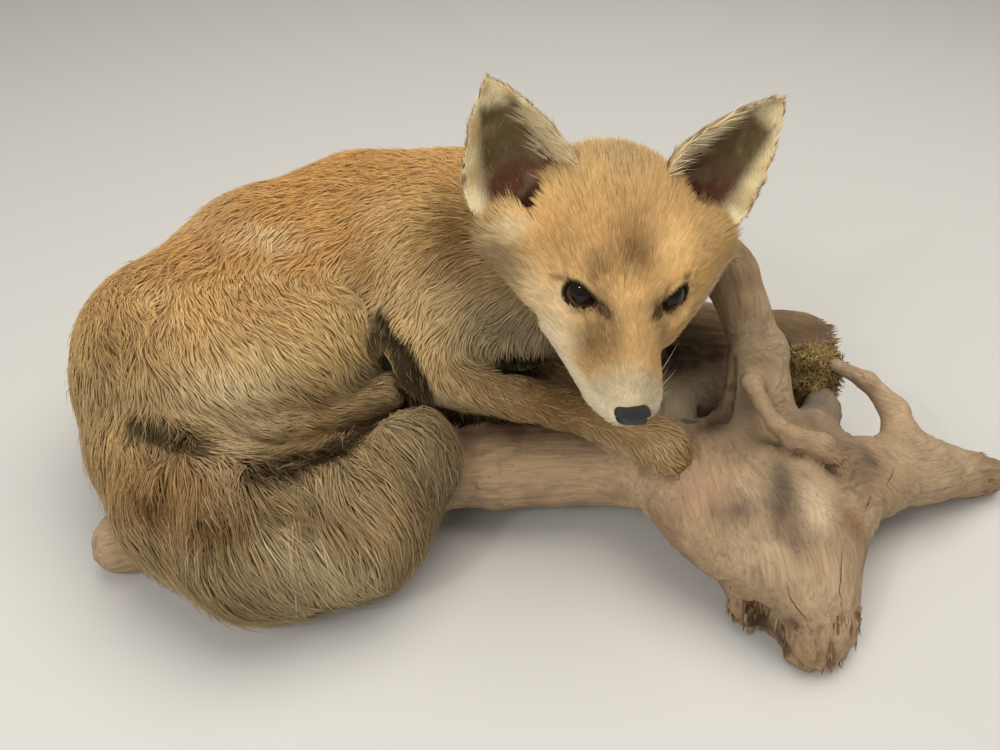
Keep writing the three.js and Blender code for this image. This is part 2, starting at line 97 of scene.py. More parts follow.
# ---------------------------------------------------------------- vectors and noise
def unit(v):
    """Vectors made one unit long."""
    v = np.asarray(v, np.float32)
    return v / (np.linalg.norm(v, axis=-1, keepdims=True) + 1e-9)


def ramp(x, lo, hi):
    """0 below lo, 1 above hi, smooth between."""
    t = np.clip((x - lo) / (hi - lo), 0, 1)
    return t * t * (3 - 2 * t)


def mix(a, b, t):
    t = np.asarray(t)[..., None]
    return np.asarray(a) * (1 - t) + np.asarray(b) * t


def lattice(i, j, k, seed):
    """Random values between -1 and 1 at whole places."""
    h = (i * 374761393 + j * 668265263 + k * 2246822519 + seed * 3266489917) & 0xFFFFFFFF
    h = ((h ^ (h >> 13)) * 1274126177) & 0xFFFFFFFF
    return ((h ^ (h >> 16)) & 0xFFFF).astype(np.float32) / 32768 - 1


def noise(p, seed=0):
    """Smooth noise between -1 and 1 with features one unit wide."""
    cell = np.floor(p).astype(np.int64)
    f = (p - cell).astype(np.float32)
    f = f * f * (3 - 2 * f)
    total = 0
    for a in (0, 1):
        for b in (0, 1):
            for c in (0, 1):
                w = ((f[:, 0] if a else 1 - f[:, 0]) * (f[:, 1] if b else 1 - f[:, 1])
                     * (f[:, 2] if c else 1 - f[:, 2]))
                total = total + w * lattice(cell[:, 0] + a, cell[:, 1] + b, cell[:, 2] + c, seed)
    return total


def fractal(p, seed=0, octaves=3):
    return sum(noise(p * 2 ** o, seed + o) / 2 ** o for o in range(octaves)) / 1.6


# ---------------------------------------------------------------- distance functions
def limb(p, a, b):
    """Distance to a tapered limb with round ends between two stations (x, y, z, radius)."""
    start = np.array(a[:3], np.float32)
    axis = np.array(b[:3], np.float32) - start
    off = p - start
    t = np.clip(off @ axis / (axis @ axis), 0, 1)
    off = off - t[:, None] * axis
    return np.sqrt(np.einsum("ij,ij->i", off, off)) - (a[3] + t * (b[3] - a[3]))


def smooth(a, b, k):
    """Two shapes blended with a fillet about as wide as k."""
    if k == 0:
        return np.minimum(a, b)
    h = np.maximum(k - np.abs(a - b), 0) / k
    return np.minimum(a, b) - h * h * k * 0.25


def carve(a, b, k):
    return -smooth(-a, b, k)


def chain(p, stations, k):
    """Distance to a run of limbs, blended by k."""
    d = limb(p, stations[0], stations[1])
    for a, b in zip(stations[1:-1], stations[2:]):
        d = smooth(d, limb(p, a, b), k)
    return d


def blob(p, centre, radii):
    """Distance to an ellipsoid, nearly."""
    q = p - np.array(centre, np.float32)
    r = np.array(radii, np.float32)
    k0 = np.linalg.norm(q / r, axis=1)
    k1 = np.linalg.norm(q / (r * r), axis=1)
    return k0 * (k0 - 1) / (k1 + 1e-9)


def beside(p, stations):
    """Where points lie beside the nearest limb of a chain: run along the chain, offset and direction."""
    best = np.full(len(p), np.inf)
    run, off, ahead = np.zeros_like(p[:, 0]), np.zeros_like(p), np.zeros_like(p)
    before = 0
    for a, b in zip(stations, stations[1:]):
        axis = np.subtract(b[:3], a[:3]).astype(np.float32)
        size = np.linalg.norm(axis)
        way = axis / size
        out = p - np.array(a[:3], np.float32)
        t = out @ way
        d = limb(p, a, b)
        nearer = d < best
        best = np.where(nearer, d, best)
        run[nearer] = (t + before)[nearer]
        off[nearer] = (out - t[:, None] * way)[nearer]
        ahead[nearer] = way
        before += size
    return run, off, ahead


def near(p, centre, size):
    """1 at a centre, falling away over a size."""
    q = (p - np.array(centre, np.float32)) / np.array(size, np.float32)
    return np.exp(-(q * q).sum(1))


# ---------------------------------------------------------------- head
def turned(yaw, pitch, roll):
    z = Matrix.Rotation(math.radians(yaw), 3, "Z")
    x = Matrix.Rotation(math.radians(pitch), 3, "X")
    y = Matrix.Rotation(math.radians(roll), 3, "Y")
    return np.array(z @ x @ y, np.float32)


HEAD_AXES = turned(*HEAD_TURN)                   # columns: x to the fox's left, y back, z up


def to_head(p):
    return (p - HEAD_AT) @ HEAD_AXES


def from_head(q):
    return np.asarray(q, np.float32) @ HEAD_AXES.T + HEAD_AT


def look(side):
    """The way an eye looks, and the long and short axes of its opening."""
    ahead = unit([0.42 * side, -0.88, 0.12])
    up = unit(np.array([0, 0, 1]) - ahead[2] * ahead)
    out = np.cross(ahead, up) * -side
    out = out * np.sign(out[0] * side)
    tilt = math.radians(33)
    return ahead, out * math.cos(tilt) + up * math.sin(tilt), up * math.cos(tilt) - out * math.sin(tilt)


def eye_place(side):
    return np.array([side * EYE_OUT, 4, -2], np.float32)


def head(q):
    """The head's outline, hair included, in head coordinates."""
    m = np.stack([np.abs(q[:, 0]), q[:, 1], q[:, 2]], 1)
    skull = blob(q, (0, 50, -3), (46, 46, 40))
    brow = blob(q, (0, 16, 0), (30, 26, 20))
    cheeks = limb(m, (46, 45, -11, 23), (15, 0, -18, 17))
    muzzle = chain(q, ((-1, -2, -15, 20), (-2, -28, -20, 16.5), (-3, -46, -22, 12)), 8)
    lips = blob(m, (8, -38, -24), (8.5, 15, 9.5))
    jaw = chain(q, ((0, 28, -32, 20), (0, -14, -32, 12), (-1, -38, -31, 8)), 8)
    right_lip = limb(q, (-27, -2, -23, 10), (-12, -37, -26, 8.5))
    d = smooth(skull, brow, 16)
    for form, k in ((cheeks, 22), (muzzle, 12), (lips, 6), (jaw, 10), (right_lip, 8)):
        d = smooth(d, form, k)
    for side in (-1, 1):
        ahead = look(side)[0]
        d = carve(d, blob(q, np.array([21 * side, 4, -1.5]) + ahead * 9, (10.5, 8, 7.5)), 5)
    return d


def eye_opening(q, side):
    """How far a direction from the eye's middle lies outside the lids' opening: 0 on their edge."""
    ahead, along, over = look(side)
    r = q - eye_place(side)
    r = r / (np.linalg.norm(r, axis=1, keepdims=True) + 1e-6)
    u = r @ along
    v = r @ over
    v = v - 0.10 * (1 - u * u) * np.sign(v)
    width = np.where(v > 0, 0.52, 0.66)
    inside = np.sqrt((u / 0.86) ** 2 + (v / width) ** 2)
    return np.where(r @ ahead > 0, inside - 1, 1.0)


def lids(q):
    """Thin shells over the eyeballs, open in front."""
    d = np.full(len(q), 50, np.float32)
    for side in (-1, 1):
        r = np.linalg.norm(q - eye_place(side), axis=1)
        shell = np.abs(r - EYE_RADIUS - 0.95) - 0.85
        d = np.minimum(d, carve(shell, eye_opening(q, side) * EYE_RADIUS * 0.7, 1.0))
    return d


# The line between the lips in head coordinates: y and z.
LIP_LINE = ((-56, -27.5), (-44, -30), (-28, -31.5), (-8, -30), (10, -25))


def face_folds(q):
    """Grooves of the face: positive where the skin goes in."""
    ys, zs = np.array(LIP_LINE).T
    off_line = q[:, 2] - np.interp(q[:, 1], ys, zs)
    mouth = 1.6 * np.exp(-(off_line / 0.9) ** 2) * ramp(q[:, 1], -58, -50) * ramp(-q[:, 1], -14, -4)
    philtrum = 1.0 * np.exp(-((q[:, 0] + 2.5) / 0.9) ** 2) * near(q, (-2.5, -56, -26), (4, 8, 6))
    folds = mouth + philtrum
    for side in (-1, 1):
        ahead, along, over = look(side)
        r = q - eye_place(side)
        u = r @ along
        v = r @ over
        front = ramp(r @ ahead, -6, 2)
        tear = np.exp(-((v + 1.2) / 1.3) ** 2) * ramp(-u, 6, 8) * ramp(u, -16, -11) * 1.3
        crease = np.exp(-(v - 0.5 - 0.02 * u * u * 0.2) ** 2) * ramp(u, 6, 9) * ramp(-u, -24, -14) * 1.2
        folds = folds + front * (tear + crease)
    return folds


# Ears in head coordinates: foot, tip, the way the cup opens, and the hollow at its foot as stations.
EARS = {
    "ear_right": dict(base=(-45, 50, 8), tip=(-68, 84, 53), opens=(-0.25, -0.85, 0.45),
                      foot=((-53, 52, 26, 9), (-50, 45, 18, 6.5), (-46, 42, 14, 4.5))),
    "ear_left": dict(base=(42, 50, 13), tip=(77, 80, 56), opens=(0.25, -0.85, 0.45),
                     foot=((50, 54, 30, 8), (42, 48, 25, 5.5), (35, 45, 23, 4))),
}
EAR_WIDTH = 30                                   # greatest half width
EAR_CUP = 17                                     # how deep the cup is there


def ear_width(u):
    """Half the width of an ear at a share of its height, widest low down and pointed at the tip."""
    low = np.sqrt(1 - np.clip((0.15 - u) / 0.5, 0, 0.98) ** 2) * 0.97
    high = (1 - np.clip((u - 0.1) / 0.9, 0, 1) ** 1.5) ** 0.8
    return EAR_WIDTH * np.where(u <= 0.15, low, high) + 0.6


def ear_frame(ear):
    """An ear's height and its directions: up, across and out of the cup."""
    axis = np.subtract(ear["tip"], ear["base"])
    up = unit(axis)
    across = unit(np.cross(up, ear["opens"]))
    return np.linalg.norm(axis), up, across, np.cross(across, up)


def ear_place(q, ear):
    """Where points lie on an ear: share of its height, share of its half width, and depth."""
    height, up, across, out = ear_frame(ear)
    h = q - np.array(ear["base"], np.float32)
    u = h @ up / height
    w = h @ across
    half = ear_width(u)
    return u, w / half, h @ out + EAR_CUP * half / EAR_WIDTH * (1 - np.clip(w / half, -1.3, 1.3) ** 2)


def ear_shell(q, ear):
    """Distance to the bare ear, about 2 mm thick, with a ragged rim."""
    u, s, depth = ear_place(q, ear)
    height = ear_frame(ear)[0]
    slope = 2 * EAR_CUP * s / EAR_WIDTH
    thick = 1.3 - 0.6 * np.clip(u, 0, 1)
    shell = np.abs(depth) / np.sqrt(1 + slope * slope) - thick
    ragged = noise(q / 4.5, 3) * 0.8 * ramp(u, 0.1, 0.4)
    edge = (np.abs(s) - 1) * ear_width(u) + 0.9 + ragged
    return np.max([shell, edge, (-0.28 - u) * height, (u - 1.0) * height], axis=0)


def off_ear(q, ear):
    """Distance from an ear's surface, which grows fast below its foot."""
    return np.abs(ear_shell(q, ear)) + 8 * ramp(-ear_place(q, ear)[0], 0.08, 0.2)


def in_cup(n, depth, ear):
    """1 inside an ear's cup and 0 on its back, from bench normals and the depth from ear_place."""
    out = ear_frame(ear)[3]
    return ramp(n @ HEAD_AXES @ out, -0.1, 0.25) * ramp(depth, -0.4, 0.2)


def ear_hollow(q, ear):
    """The hole at the foot of an ear."""
    _, up, across, out = ear_frame(ear)
    middle = np.array(ear["base"]) + up * 6 - out * 5
    hole = blob((q - middle) @ np.stack([across, out, up], 1), (0, 0, 0), (11, 9, 19))
    return smooth(hole, chain(q, ear["foot"], 2), 4)


# ---------------------------------------------------------------- the other parts
# Stations on the bench: x, y, z and radius.
TRUNK = ((-184, 440, 74, 60), (-146, 500, 82, 60), (-88, 530, 90, 62), (-30, 512, 104, 57))
NECK = ((-30, 512, 106, 52), (10, 474, 130, 46), (45, 428, 152, 42))
CHEST = ((-20, 470, 95, 42), (10, 438, 100, 34))
HAUNCH = ((-196, 420, 80, 50), (-108, 438, 78, 38))
FOOT_RIGHT = ((-180, 385, 60, 22), (-120, 392, 56, 18), (-70, 424, 54, 14))
THIGH_LEFT = ((-170, 480, 50, 50), (-104, 536, 42, 40))
FOOT_LEFT = ((-140, 565, 20, 18), (-80, 582, 15, 14), (-34, 574, 13, 12))
SHOULDER_RIGHT = ((-42, 475, 112, 44), (-40, 418, 84, 26))
SHOULDER_LEFT = ((-2, 512, 84, 36), (12, 478, 58, 20))
ARM_RIGHT = ((-42, 407, 78, 18), (11, 391, 77, 13.5), (34, 385, 76, 13), (57, 374, 75, 12.5),
             (78, 363, 74, 13.5), (88, 357, 71, 15))
ARM_LEFT = ((-5, 460, 62, 18), (40, 452, 50, 12), (66, 446, 43, 12))
TAIL = ((-212, 404, 70, 34), (-190, 368, 56, 35), (-160, 334, 48, 40), (-120, 314, 46, 43),
        (-78, 325, 48, 41), (-54, 356, 60, 36))
PAWS = {
    "foreleg_right": dict(at=(89, 357, 71), ahead=(0.72, -0.55, -0.32), spread=6),
    "foreleg_left": dict(at=(66, 446, 42), ahead=(0.97, -0.1, -0.1), spread=5.5),
    "hind_foot_right": dict(at=(-74, 421, 54), ahead=(0.85, 0.45, -0.1), spread=5.5),
    "hind_foot_left": dict(at=(-36, 574, 13), ahead=(0.97, -0.2, 0), spread=5.5),
}
TOES = (-1.5, -0.5, 0.5, 1.5)
TOE_RADIUS = 5.6


def toe_places(paw):
    ahead = unit(paw["ahead"])
    side = unit(np.cross(ahead, (0, 0, 1)))
    return [np.array(paw["at"]) + ahead * (9 - abs(i)) + side * i * paw["spread"] for i in TOES]


def foot(p, stations, k, name):
    leg = chain(p, stations, k)
    middles = [c.astype(np.float32) for c in toe_places(PAWS[name])]
    toes = np.min([np.linalg.norm(p - c, axis=1) - TOE_RADIUS for c in middles], axis=0)
    return smooth(leg, toes, 5)


def thigh_right(p):
    return smooth(limb(p, *HAUNCH), blob(p, (-150, 412, 76), (60, 35, 42)), 15)


# name, distance, softness of its blend with those before it, depth of the coat, length of its hair
PARTS = (
    ("trunk", lambda p: chain(p, TRUNK, 20), 0, 4, 13),
    ("neck", lambda p: chain(p, NECK, 20), 30, 4.4, 14),
    ("chest", lambda p: chain(p, CHEST, 10), 25, 4.4, 15),
    ("shoulder_right", lambda p: limb(p, *SHOULDER_RIGHT), 25, 3.8, 12),
    ("thigh_right", thigh_right, 18, 3.8, 12),
    ("thigh_left", lambda p: limb(p, *THIGH_LEFT), 25, 3.8, 12),
    ("shoulder_left", lambda p: limb(p, *SHOULDER_LEFT), 20, 3.8, 12),
    ("head", lambda p: head(to_head(p)), 24, 3, 8),
    ("hind_foot_right", lambda p: foot(p, FOOT_RIGHT, 6, "hind_foot_right"), 6, 3.5, 10),
    ("hind_foot_left", lambda p: foot(p, FOOT_LEFT, 6, "hind_foot_left"), 6, 3, 9),
    ("foreleg_right", lambda p: foot(p, ARM_RIGHT, 5, "foreleg_right"), 8, 2.6, 6.5),
    ("foreleg_left", lambda p: foot(p, ARM_LEFT, 5, "foreleg_left"), 6, 2.6, 6.5),
    ("tail", lambda p: chain(p, TAIL, 14), 8, 8, 27),
)
PART_NAMES = [part[0] for part in PARTS]
HEAD_PART = PART_NAMES.index("head")
TAIL_PART = PART_NAMES.index("tail")
# Deep gaps between the parts of the body, where the coat is short and painted dark as shade.
GAPS = (
    ((-69, 427, 102, 5), (-65, 418, 93, 8.5), (-59, 404, 88, 12), (-54, 396, 77, 13), (-54, 394, 66, 12)),
    ((-190, 354, 90, 1.5), (-179, 350, 89, 3.0), (-165, 344, 89, 3.4), (-152, 336, 89, 2.2)),
    ((-119, 316, 92, 2.5), (-106, 326, 90, 4), (-95, 335, 89, 5), (-83, 341, 90, 5), (-77, 349, 90, 4),
     (-70, 372, 82, 8), (-66, 392, 66, 10)),
    ((3, 404, 89, 4), (14, 408, 86, 6), (26, 412, 82, 8)),
)


def gap(p):
    return np.min([chain(p, stations, 6) for stations in GAPS], axis=0)


def distances(p):
    return np.stack([part[1](p) for part in PARTS])


def outline_of(each, p):
    """The whole outline with its deep gaps, from the distances of the parts."""
    d = each[0]
    for value, part in zip(each[1:], PARTS[1:]):
        d = smooth(d, value, part[2])
    return carve(d, gap(p), 6)


def shares(each, softness=7):
    """How much each part has of a point."""
    w = np.exp(-np.clip(each - each.min(0), 0, 60) / softness)
    return w / w.sum(0)


def ruff(q):
    """1 on the cheeks behind the eyes, where the hair is long."""
    return ramp(np.abs(q[:, 0]), 26, 50) * ramp(-q[:, 2], -8, 12) * ramp(q[:, 1], 5, 40)


def face_depth(q):
    """Depth of the coat on the head."""
    d = 0.8 + 1.6 * ramp(q[:, 1], -30, 10) + 2.2 * ramp(q[:, 1], 15, 50) + 3 * ramp(q[:, 1], 55, 85)
    d = d + 3.2 * ruff(q)
    for side in (-1, 1):
        d = d - (d - 0.7) * near(q, eye_place(side) + look(side)[0] * 6, (13, 13, 13))
    return d


def face_hair(q):
    """Length of the hair on the head."""
    length = 3.4 + 2.6 * ramp(q[:, 1], -35, 5) + 3 * ramp(q[:, 1], 15, 50) + 5 * ramp(q[:, 1], 50, 85)
    length = length + 5 * ruff(q)
    for side in (-1, 1):
        length = length * (1 - 0.55 * near(q, eye_place(side) + look(side)[0] * 6, (13, 13, 13)))
    for ear in EARS.values():
        u, s, depth = ear_place(q, ear)
        ahead = ramp(depth, 1, 4) * ramp(-depth, -40, -28)
        before = ahead * ramp(-np.abs(s), -0.8, -0.45) * ramp(u, -0.5, -0.2)
        length = length * (1 - 0.75 * before)
    for line in FACE_LINES[:2]:
        length = length * (1 - 0.6 * ramp(-chain(q, line, 1), -5, -1))
    return length


def coat_at(p, each=None):
    """Depth of the coat and length of its hair at bench points."""
    each = distances(p) if each is None else each
    w = shares(each)
    q = to_head(p)
    others = [i for i in range(len(PARTS)) if i != HEAD_PART]
    depth = sum(w[i] * PARTS[i][3] for i in others) + w[HEAD_PART] * face_depth(q)
    length = sum(w[i] * PARTS[i][4] for i in others) + w[HEAD_PART] * face_hair(q)
    bare = ramp(-gap(p), -10, -2)
    return depth * (1 - 0.6 * bare), length * (1 - 0.45 * bare)


def skin(p):
    """Distance to the skin, which lies under the coat."""
    each = distances(p)
    d = outline_of(each, p) + coat_at(p, each)[0]
    q = to_head(p)
    close = np.nonzero(np.abs(q).max(1) < 125)[0]
    q = q[close]
    face = d[close] + face_folds(q)
    face = smooth(face, lids(q), 2.2)
    for ear in EARS.values():
        face = smooth(face, ear_shell(q, ear), 5)
        face = carve(face, ear_hollow(q, ear), 4)
        face = smooth(face, ear_shell(q, ear), 1)
    for side in (-1, 1):
        face = carve(face, np.linalg.norm(q - eye_place(side), axis=1) - EYE_RADIUS + 0.3, 0.6)
    d[close] = face
    return np.maximum(d, 1.0 - p[:, 2])


# ---------------------------------------------------------------- surfaces from distances
def steps(lo, hi, cell, fine=None):
    """Grid lines from lo to hi, closer together inside the fine span (start, end, cell)."""
    if fine is None:
        return np.arange(lo, hi + cell, cell)
    start, end, small = fine
    before, after = np.arange(lo, start, cell), np.arange(end, hi + cell, cell)
    return np.concatenate([before, np.arange(start, end, small), after])


def grid(box, cell):
    """Grid lines through a box given as its ends on each axis."""
    return [steps(lo, hi, cell) for lo, hi in box]


def sampled(value, axes, stride=5):
    """A distance on a grid, worked out closely only near the surface."""
    axes = [np.asarray(a, np.float32) for a in axes]
    coarse_axes = [np.append(a[::stride], a[-1]) for a in axes]
    shape = [len(a) for a in coarse_axes]
    corners = np.stack(np.meshgrid(*coarse_axes, indexing="ij"), -1).reshape(-1, 3)
    coarse = value(corners).reshape(shape)
    # A block is worked out closely if the surface may reach into it.
    closest = np.full([n - 1 for n in shape], np.inf, np.float32)
    widest = np.zeros([n - 1 for n in shape], np.float32)
    for k, a in enumerate(coarse_axes):
        size = [1, 1, 1]
        size[k] = -1
        widest = widest + np.diff(a).reshape(size) ** 2
    for corner in np.ndindex(2, 2, 2):
        part = coarse[tuple(slice(c, n - 1 + c) for c, n in zip(corner, shape))]
        closest = np.minimum(closest, np.abs(part))
    blocks = closest < np.sqrt(widest) * 0.75 + 1
    where = [np.minimum(np.arange(len(a)) // stride, n - 2) for a, n in zip(axes, shape)]
    # A point between two blocks is worked out if either of them is.
    mask = blocks[np.ix_(*where)]
    out = coarse[np.ix_(*where)].copy()
    lows = [np.maximum(w - (np.arange(len(a)) % stride == 0), 0) for w, a in zip(where, axes)]
    mask |= blocks[np.ix_(*lows)]
    index = np.nonzero(mask)
    points = np.stack([a[i] for a, i in zip(axes, index)], 1)
    values = np.concatenate([value(points[i:i + 200000]) for i in range(0, len(points), 200000)])
    out[index] = values
    return out


def nets(v, axes):
    """The surface where a grid of distances is 0, as points and quads."""
    shape = np.array(v.shape) - 1
    total = np.zeros((int(np.prod(shape)), 3))
    count = np.zeros(int(np.prod(shape)))
    quads = []
    # Each grid edge that the surface crosses gives a quad between the four cells round it.
    for axis in range(3):
        a = np.take(v, range(v.shape[axis] - 1), axis)
        b = np.take(v, range(1, v.shape[axis]), axis)
        index = np.stack(np.nonzero((a < 0) != (b < 0)), 1)
        va, vb = a[tuple(index.T)], b[tuple(index.T)]
        place = np.stack([axes[k][index[:, k]] for k in range(3)], 1).astype(float)
        width = axes[axis][index[:, axis] + 1] - axes[axis][index[:, axis]]
        place[:, axis] += width * va / (va - vb)
        s, t = (axis + 1) % 3, (axis + 2) % 3
        ring = []
        for ds, dt in ((-1, -1), (0, -1), (0, 0), (-1, 0)):
            cell = index.copy()
            cell[:, s] += ds
            cell[:, t] += dt
            ring.append(cell)
        good = np.all([((c >= 0) & (c < shape)).all(1) for c in ring], axis=0)
        flat = [np.ravel_multi_index(c[good].T, shape) for c in ring]
        for f in flat:
            count += np.bincount(f, minlength=len(count))
            for k in range(3):
                total[:, k] += np.bincount(f, place[good][:, k], minlength=len(count))
        quad = np.stack(flat, 1)
        flip = va[good] >= 0
        quad[flip] = quad[flip][:, ::-1]
        quads.append(quad)
    # A cell's point is the mean of the crossings on its edges.
    used = np.nonzero(count)[0]
    number = np.zeros(len(count), np.int64)
    number[used] = np.arange(len(used))
    return (total[used] / count[used][:, None]).astype(np.float32), number[np.concatenate(quads)]


def slope(value, p, h=0.4):
    """How fast a distance grows along each axis."""
    g = np.stack([value(p + e) - value(p - e) for e in np.eye(3, dtype=np.float32) * h], 1)
    return g / (2 * h)


def settled(value, p, rounds=2, most=1.0):
    """Points moved onto the surface, and its normals there."""
    for _ in range(rounds):
        g = slope(value, p)
        move = -value(p) / ((g * g).sum(1) + 1e-3)
        p = p + np.clip(move, -most, most)[:, None] * g
    return p, unit(slope(value, p))


# ---------------------------------------------------------------- meshes
def mesh_object(name, points, faces, smooth_faces=True):
    """An object from bench points and an array of triangles or quads."""
    mesh = bpy.data.meshes.new(name)
    mesh.vertices.add(len(points))
    mesh.vertices.foreach_set("co", metres(points).astype(np.float32).ravel())
    sides = faces.shape[1]
    mesh.loops.add(faces.size)
    mesh.loops.foreach_set("vertex_index", faces.astype(np.int32).ravel())
    mesh.polygons.add(len(faces))
    mesh.polygons.foreach_set("loop_start", np.arange(0, faces.size, sides, dtype=np.int32))
    mesh.polygons.foreach_set("use_smooth", np.full(len(faces), smooth_faces))
    mesh.update(calc_edges=True)
    obj = bpy.data.objects.new(name, mesh)
    bpy.context.scene.collection.objects.link(obj)
    return obj


def paint(obj, colours):
    """Linear colours of the points, which the materials read as tint."""
    layer = obj.data.color_attributes.new("tint", "FLOAT_COLOR", "POINT")
    rgba = np.ones((len(colours), 4), np.float32)
    rgba[:, :3] = np.clip(colours, 0, 1)
    layer.data.foreach_set("color", rgba.ravel())


def note(obj, name, vectors):
    """A vector at each point, which a material reads by its name."""
    layer = obj.data.attributes.new(name, "FLOAT_VECTOR", "POINT")
    layer.data.foreach_set("vector", np.asarray(vectors, np.float32).ravel())


def dress(obj, material, slot, *replaced):
    """Gives a piece its material and body, and hides the solids whose place it takes. The slot is not used.
    """
    obj.data.materials.append(materials[material])
    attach(obj, "root")
    if replaced:
        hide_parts(*replaced)


# ---------------------------------------------------------------- lie of the coat
def along(p, stations, spread=8):
    """Direction along the stations, first to last, at points near them."""
    total = 0
    for a, b in zip(stations[:-1], stations[1:]):
        w = np.exp(-np.clip(limb(p, a, b), -30, 80) / spread)
        total = total + w[:, None] * unit(np.subtract(b[:3], a[:3]))
    return unit(total)


def head_lie(p):
    """The hair of the head runs back from a point in front of the nose."""
    q = to_head(p)
    away = unit(q - np.array((-2.5, -84, -14), np.float32))
    down = np.array((0, 0.2, -0.8), np.float32)
    away = away + 0.55 * ramp(q[:, 1], 10, 60)[:, None] * down * ramp(np.abs(q[:, 0]), 20, 50)[:, None]
    return unit(away) @ HEAD_AXES.T


# The way that the hair lies: one direction for some parts, along the stations of the others.
FIXED_LIE = {
    "chest": (-0.25, 0.2, -0.95), "shoulder_right": (-0.55, -0.35, -0.75),
    "thigh_right": (0.62, -0.45, -0.62), "thigh_left": (0.5, 0.5, -0.6), "shoulder_left": (0.1, 0.2, -1),
}
RUNS = {
    "trunk": TRUNK[::-1], "neck": NECK[::-1], "hind_foot_right": FOOT_RIGHT, "hind_foot_left": FOOT_LEFT,
    "foreleg_right": ARM_RIGHT, "foreleg_left": ARM_LEFT, "tail": TAIL,
}


def lie(p, each=None):
    """The way that the hair lies at bench points."""
    each = distances(p) if each is None else each
    w = shares(each, 9)
    total = np.zeros_like(p)
    for i, name in enumerate(PART_NAMES):
        if name == "head":
            way = head_lie(p)
        elif name in FIXED_LIE:
            way = unit(FIXED_LIE[name])
        else:
            way = along(p, RUNS[name])
        if name == "tail":
            way = unit(0.4 * way + np.array((0.02, -0.62, -0.6), np.float32))
        if name == "trunk":
            way = unit(way + np.array((-0.1, -0.15, -0.35), np.float32))
        total += w[i][:, None] * way
    return unit(total)


class Steer:
    """The skin's distance, its slope and the lie of the coat on a coarse grid."""

    def __init__(self):
        self.axes = [np.arange(lo, hi, STEER_CELL, dtype=np.float32) for lo, hi in STEER_BOX]
        shape = [len(a) for a in self.axes]
        places = np.stack(np.meshgrid(*self.axes, indexing="ij"), -1).reshape(-1, 3)
        each = distances(places)
        self.distance = (outline_of(each, places) + coat_at(places, each)[0]).reshape(shape)
        self.normal = np.stack(np.gradient(self.distance, STEER_CELL), -1)
        self.lie = lie(places, each).reshape(shape + [3])

    def read(self, table, p):
        """A table's values at bench points."""
        low = np.array([a[0] for a in self.axes])
        t = (p - low) / STEER_CELL
        t = np.clip(t, 0, np.array(table.shape[:3]) - 1.001)
        i = t.astype(int)
        f = t - i
        total = 0
        for corner in np.ndindex(2, 2, 2):
            w = np.prod([f[:, k] if c else 1 - f[:, k] for k, c in enumerate(corner)], axis=0)
            value = table[i[:, 0] + corner[0], i[:, 1] + corner[1], i[:, 2] + corner[2]]
            total = total + (w[:, None] * value if table.ndim == 4 else w * value)
        return total


# ---------------------------------------------------------------- colours of the coat
# Marks of the coat on the bench, painted shade and painted light among them: centre, reach, colour and
# strength.
COAT_MARKS = {
    "saddle": ((-105, 510, 150), (90, 60, 42), (0.52, 0.28, 0.09), 0.75),
    "rump": ((-180, 450, 125), (50, 50, 40), (0.50, 0.28, 0.10), 0.6),
    "tuft on the rump": ((-163, 486, 138), (12, 12, 8), (0.36, 0.20, 0.07), 0.6),
    "pale lock on the back": ((-135, 465, 137), (24, 10, 10), CREAM, 0.5),
    "pale shoulder": ((-28, 424, 108), (22, 24, 24), (0.86, 0.62, 0.31), 0.9),
    # Pale fur made lighter still: painted light on the under-turn of the thigh.
    "pale thigh with painted light": ((-148, 368, 84), (40, 22, 20), (1.0, 0.84, 0.50), 1.0),
    "dull flank": ((-186, 388, 104), (26, 22, 16), (0.38, 0.235, 0.095), 0.65),
    "shank": ((-98, 364, 80), (44, 24, 14), (0.13, 0.074, 0.025), 0.92),
    # Painted shade on the neck behind the cheek.
    "painted shade on the neck behind the cheek": ((-26, 445, 151), (22, 30, 40), (0.15, 0.08, 0.024), 0.9),
    "dull edge of the rump": ((-206, 384, 112), (18, 22, 20), (0.26, 0.155, 0.06), 0.7),
    # Painted shade under the cheek.
    "painted shade under the cheek": ((0, 396, 142), (20, 24, 24), (0.16, 0.10, 0.04), 0.75),
    "grey throat": ((2, 410, 112), (34, 26, 32), (0.25, 0.19, 0.10), 0.85),
    "shaded arm": ((35, 381, 84), (19, 14, 13), (0.15, 0.087, 0.032), 0.85),
    "pale paw": ((86, 357, 76), (13, 15, 14), (0.52, 0.37, 0.19), 0.85),
}
# Marks of the tail, which stop at its outline.
TAIL_MARKS = {
    "tail root": ((-203, 346, 84), (24, 28, 24), (0.44, 0.285, 0.12), 0.85),
    "rusty tail": ((-166, 312, 80), (42, 26, 22), (0.27, 0.14, 0.046), 0.9),
    "dark spot on the tail": ((-170, 305, 80), (10, 9, 10), (0.04, 0.02, 0.008), 0.97),
    "brown tail": ((-134, 288, 78), (22, 14, 20), (0.105, 0.058, 0.018), 0.92),
    "brown streak of the tail": ((-104, 296, 82), (26, 9, 10), (0.15, 0.095, 0.042), 0.6),
    "dull tail end": ((-38, 326, 76), (17, 18, 20), (0.15, 0.105, 0.052), 0.85),
    "pale tail tip": ((-58, 358, 94), (22, 20, 12), (0.32, 0.24, 0.13), 0.7),
    "dull underside": ((-112, 274, 48), (44, 14, 22), (0.19, 0.135, 0.065), 0.65),
    "tail fringe": ((-26, 345, 50), (13, 34, 40), (0.14, 0.098, 0.052), 0.7),
}
